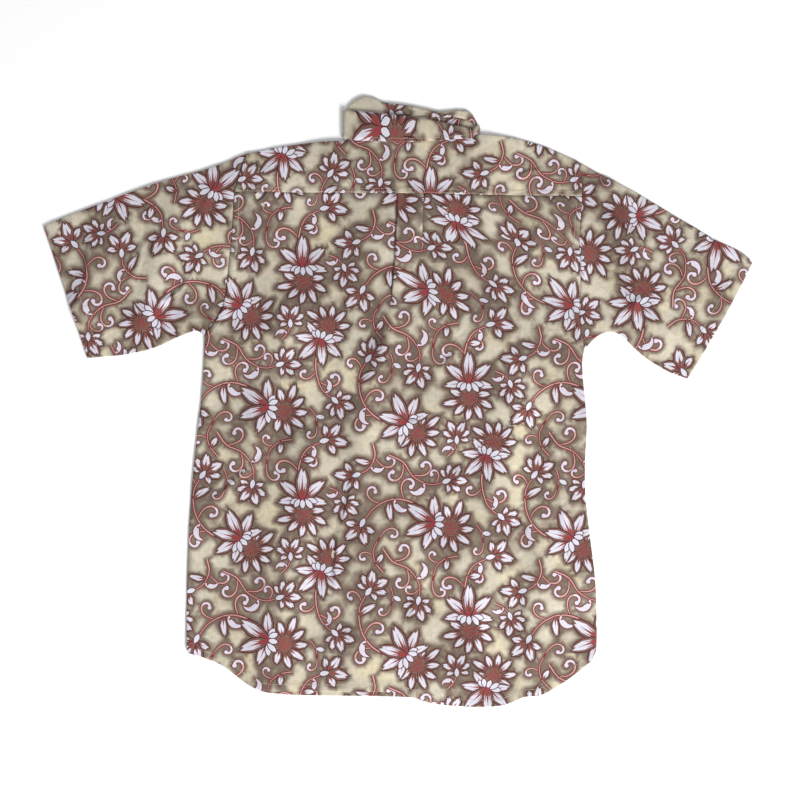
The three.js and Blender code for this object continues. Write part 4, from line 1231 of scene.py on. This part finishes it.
def newMaterial(name, values):   # what is the same all over is set on the shader's own sockets
    material = bpy.data.materials.new(name)
    material.use_nodes = True
    shader = material.node_tree.nodes["Principled BSDF"]
    for key, value in values.items():
        shader.inputs[key].default_value = value
    return material, material.node_tree, shader.inputs


def clothMaterial(name, look):
    material, tree, shader = newMaterial(name, {
        "Roughness": look["roughness"], "Sheen Weight": look["sheen"], "Sheen Roughness": 0.5,
        "Specular IOR Level": 0.2})
    plan = node(tree, "UVMap", uv_map="cloth").outputs["UV"]
    near = node(tree, "Attribute", attribute_name="near").outputs["Fac"]
    ink = node(tree, "Attribute", attribute_name="ink").outputs
    weave = node(tree, "Group", node_tree=weaveGroup)
    dyeAndShade = node(tree, "Group", node_tree=dyeAndShadeGroup)
    rumple = node(tree, "Group", node_tree=rumpleGroup)
    for group in (weave, dyeAndShade, rumple):
        tree.links.new(plan, group.inputs["Vector"])
    weave.inputs["Threads"].default_value = look["threads"]
    for key in ("Open", "Warm", "Taupe", "Dark"):
        dyeAndShade.inputs[key].default_value = look[key.lower()]
    tree.links.new(near, dyeAndShade.inputs["Near"])
    printed = mixed(tree, ink["Alpha"], dyeAndShade.outputs["Color"], ink["Color"])
    tone = ranged(tree, weave.outputs["Tone"], 0.7, 1.3, 0.93, 1.07)
    # the weave's tone times the painted fold shade, which darkens print and ground together
    shade = maths(tree, "MULTIPLY", tone, dyeAndShade.outputs["PaintedShade"])
    coloured = node(tree, "HueSaturation", {"Value": shade, "Color": printed})
    tree.links.new(coloured.outputs[0], shader["Base Color"])
    soft = node(tree, "Bump", {
        "Strength": 1.0, "Distance": look["rumple"], "Height": rumple.outputs["Height"]})
    woven = node(tree, "Bump", {
        "Strength": look["bump"], "Distance": look["threadHeight"], "Height": weave.outputs["Height"],
        "Normal": soft.outputs[0]})
    tree.links.new(woven.outputs[0], shader["Normal"])
    return material


def finish(piece, slot, *nodes):
    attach(piece, "root")
    if nodes:
        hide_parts(*nodes)
    return piece


printed = clothMaterial("printedCotton", clothLook)
leafGrid = [leafRow(section) for section in ringSections(0)]
standGrid = [standRow(section) for section in ringSections(12)]
panels = {
    "sleeve_left": makeSleeve("left", printed),
    "sleeve_right": makeSleeve("right", printed),
    "back": makeBack(printed),
    "front_left": makeFront("left", -1, printed),
    "front_right": makeFront("right", 1, printed),
    "yoke": makeYoke(printed),
    "collar_leaf": makeBand("collar_leaf_cloth", leafGrid, bands["leaf"], printed),
    "collar_stand": makeBand("collar_stand_cloth", standGrid, bands["stand"], printed),
}
pieces = {name: finish(piece, "printed_cloth", name) for name, piece in panels.items()}
print("cloth is made")


# Stitches: one is modelled, and each piece has a mesh of its copies along its rows.
stitch = {"length": 2.3, "wide": 0.62, "high": 0.42, "pitch": 3.1, "proud": 0.05}


def modelStitch():
    bpy.ops.object.select_all(action="DESELECT")
    bpy.ops.mesh.primitive_uv_sphere_add(segments=6, ring_count=4, radius=stitch["length"] / 2000,
                                         location=(0, 0, 0))
    bpy.ops.object.mode_set(mode="EDIT")
    bpy.ops.mesh.select_all(action="SELECT")
    bpy.ops.transform.rotate(value=math.pi / 2, orient_axis="Y", center_override=(0, 0, 0))
    bpy.ops.transform.resize(value=(1, stitch["wide"] / stitch["length"], stitch["high"] / stitch["length"]))
    bpy.ops.object.mode_set(mode="OBJECT")
    one = bpy.context.object
    verts = np.array([v.co for v in one.data.vertices])
    faces = [tuple(f.vertices) for f in one.data.polygons]
    bpy.data.objects.remove(one)
    return verts, faces


stitchVerts, stitchFaces = modelStitch()


def copiesOf(name, places, material, size=1.0):   # a place is a point, a way along and a way out
    verts, faces = [], []
    for k, (at, along, out) in enumerate(places):
        verts.append(at + (stitchVerts * size) @ np.array([along, np.cross(out, along), out]))
        faces += [tuple(v + k * len(stitchVerts) for v in face) for face in stitchFaces]
    mesh = bpy.data.meshes.new(name)
    mesh.from_pydata(np.concatenate(verts).tolist(), [], faces)
    mesh.shade_smooth()
    mesh.materials.append(material)
    return addObject(name, mesh)


def sewRows(piece, rows, material, name):
    mesh = piece.data
    tree = BVHTree.FromPolygons([v.co for v in mesh.vertices], [p.vertices for p in mesh.polygons])
    places = []
    for line, way in rows:
        along = runLength(line)
        stops = np.arange(stitch["pitch"], along[-1] - 1, stitch["pitch"])
        xy = np.column_stack([np.interp(stops, along, line[:, k]) for k in (0, 1)])
        hits = [tree.ray_cast((x / 1000, y / 1000, 0.05 * way), (0, 0, -way)) for x, y in xy]
        for before, here, after in zip(hits[:-2], hits[1:-1], hits[2:]):
            if before[0] is None or here[0] is None or after[0] is None:
                continue
            run = np.array(after[0] - before[0])
            out = np.array(here[1]) * (1 if here[1].z * way > 0 else -1)
            run -= out * (run @ out)
            if abs(before[0].z - after[0].z) > 0.002 or np.linalg.norm(run) < 1e-6:
                continue   # the row steps off an edge here
            places.append((np.array(here[0]) + out * stitch["proud"] / 1000, run / np.linalg.norm(run), out))
    print(name, len(places), "stitches")
    return finish(copiesOf(name, places, material), "printed_cloth")


def threadMaterial():
    material, tree, shader = newMaterial("sewingThread", {"Roughness": 0.62})
    place = node(tree, "TexCoord").outputs["Object"]
    twist = node(tree, "TexWave", {"Vector": place, "Scale": 900.0, "Distortion": 2.0},
                 bands_direction="DIAGONAL").outputs["Fac"]
    tree.links.new(mixed(tree, twist, (0.40, 0.33, 0.25, 1), (0.66, 0.59, 0.48, 1)), shader["Base Color"])
    bump = node(tree, "Bump", {"Strength": 0.4, "Distance": 0.0001, "Height": twist})
    tree.links.new(bump.outputs[0], shader["Normal"])
    return material


thread = threadMaterial()
leafAbove = curve([(x, edge + 4.5) for x, _, _, _, edge in collarBack[1:-1]])
seamRows["collar_leaf"].append((leafAbove, 1))
sewn = {name: sewRows(pieces[name], rows, thread, name + "_stitches") for name, rows in seamRows.items()}

# Buttons: one is modelled face down at the top of the row, the others are copies.
button = {"radius": 5.7, "thick": 2.1, "rim": 0.9, "slope": 0.8, "dish": 0.6, "bevel": 0.35, "hole": 0.75,
          "holesApart": 2.5, "first": 292, "step": 88, "count": 6, "collar": 371,
          "threadSize": 1.75, "threadsApart": 0.6}


def pickFaces(shape, wanted):
    bpy.ops.object.mode_set(mode="EDIT")
    bpy.ops.mesh.select_all(action="DESELECT")
    bpy.ops.mesh.select_mode(type="FACE")
    bpy.ops.object.mode_set(mode="OBJECT")
    for face in shape.data.polygons:
        face.select = bool(wanted(face))
    bpy.ops.object.mode_set(mode="EDIT")


def selectOnly(*chosen):
    bpy.ops.object.select_all(action="DESELECT")
    for each in chosen:
        each.select_set(True)
    bpy.context.view_layer.objects.active = chosen[0]


def addCylinder(sides, radius, depth, x, y, z):   # in millimetres
    bpy.ops.mesh.primitive_cylinder_add(vertices=sides, radius=radius * 0.001, depth=depth * 0.001,
                                        location=(x * 0.001, y * 0.001, z * 0.001))
    return bpy.context.object


def modelButton(x, y):
    bpy.ops.object.select_all(action="DESELECT")
    shape = addCylinder(40, button["radius"], button["thick"], x, y, button["thick"] / 2)
    bpy.ops.object.transform_apply(location=True, rotation=True, scale=True)
    pickFaces(shape, lambda face: face.normal.z < -0.9)
    bpy.ops.mesh.inset(thickness=button["rim"] * 0.001)
    bpy.ops.mesh.inset(thickness=button["slope"] * 0.001)
    bpy.ops.transform.translate(value=(0, 0, button["dish"] * 0.001))
    bpy.ops.object.mode_set(mode="OBJECT")
    bevel = shape.modifiers.new("rimBevel", "BEVEL")
    bevel.width, bevel.segments = button["bevel"] * 0.001, 3
    bevel.limit_method, bevel.angle_limit = "ANGLE", math.radians(35)
    bpy.ops.object.modifier_apply(modifier=bevel.name)
    half = button["holesApart"] / 2
    cutters = [addCylinder(14, button["hole"], 8, x + dx * half, y + dy * half, 1)
               for dx, dy in ((1, 1), (1, -1), (-1, 1), (-1, -1))]
    selectOnly(*cutters)
    bpy.ops.object.join()
    selectOnly(shape)
    holes = shape.modifiers.new("holes", "BOOLEAN")
    holes.operation, holes.solver, holes.object = "DIFFERENCE", "EXACT", cutters[0]
    bpy.ops.object.modifier_apply(modifier=holes.name)
    bpy.data.objects.remove(cutters[0])
    bpy.ops.object.shade_smooth_by_angle(angle=math.radians(40))
    return shape


def shellMaterial():
    material, tree, shader = newMaterial("polishedShell", {"Coat Weight": 0.3})
    place = node(tree, "TexCoord").outputs["Object"]
    stretched = node(tree, "Mapping", {"Vector": place, "Scale": (160, 520, 260)}).outputs[0]
    streaks = noise(tree, stretched, 1.0, 5.0, 0.6, 0.8)
    ramp = node(tree, "ValToRGB", {"Fac": streaks})
    low, high = ramp.color_ramp.elements
    low.position, low.color = 0.32, (0.16, 0.08, 0.045, 1)
    high.position, high.color = 0.68, (0.50, 0.34, 0.21, 1)
    tree.links.new(ramp.outputs["Color"], shader["Base Color"])
    tree.links.new(ranged(tree, streaks, 0.0, 1.0, 0.24, 0.42), shader["Roughness"])
    return material


firstY = button["first"]
buttonPlaces = {"button_%d" % (k + 1): firstY - k * button["step"] for k in range(button["count"])}
buttonPlaces["button_collar"] = button["collar"]
first = modelButton(float(centreX(firstY)), firstY)
first.data.materials.clear()
first.data.materials.append(shellMaterial())
ties = []   # two threads through each pair of holes
for name, y in buttonPlaces.items():
    move = Vector(((float(centreX(y)) - float(centreX(firstY))) / 1000, (y - firstY) / 1000, 0))
    copy = addObject(name + "_shell", first.data.copy())
    for v in copy.data.vertices:
        v.co += move
    finish(copy, "button", name)
    at = np.array([float(centreX(y)), y, button["dish"]]) / 1000
    for dx, dy in ((2, 2), (2, -2)):
        along = np.array([dx, dy, 0]) / math.hypot(dx, dy)
        aside = np.array([along[1], -along[0], 0]) * button["threadsApart"] / 2000
        ties += [(at + aside * way, along, np.array([0, 0, -1.0])) for way in (-1, 1)]
bpy.data.objects.remove(first)
finish(copiesOf("button_threads", ties, thread, button["threadSize"]), "printed_cloth")
print("stitches and buttons are made")

bpy.ops.mesh.primitive_plane_add(size=12, location=(0, 0, 0))
floor = bpy.context.object
floor.name = "floor"
floorLook = newMaterial("paleFloor", {"Base Color": (0.965, 0.965, 0.96, 1), "Roughness": 0.9})[0]
floor.data.materials.append(floorLook)

view = {"centre": (0.00206, 0.00206), "height": 1.5225, "lens": 50.0, "sensor": 36.0}
cameraData = bpy.data.cameras.new("camera")
cameraData.lens, cameraData.sensor_width = view["lens"], view["sensor"]
camera = addObject("camera", cameraData)
camera.location = (view["centre"][0], view["centre"][1], view["height"])
bpy.context.scene.camera = camera
bpy.context.scene.view_settings.view_transform = "Standard"

lights = [  # name, place, size, watts
    ("key", (1.9, -2.6, 1.95), 1.5, 236.0),
    ("fill", (-1.8, 0.6, 2.6), 2.0, 12.0),
    ("top", (0.2, 2.4, 2.0), 1.8, 3.0),
]
for name, place, size, watts in lights:
    data = bpy.data.lights.new(name, "AREA")
    data.shape, data.size, data.energy = "SQUARE", size, watts
    lamp = addObject(name, data)
    lamp.location = place
    lamp.rotation_euler = Vector([-k for k in place]).to_track_quat("-Z", "Y").to_euler()
world = bpy.data.worlds.new("studio")
world.use_nodes = True
world.node_tree.nodes["Background"].inputs["Color"].default_value = (0.93, 0.94, 0.96, 1)
world.node_tree.nodes["Background"].inputs["Strength"].default_value = 0.38
bpy.context.scene.world = world
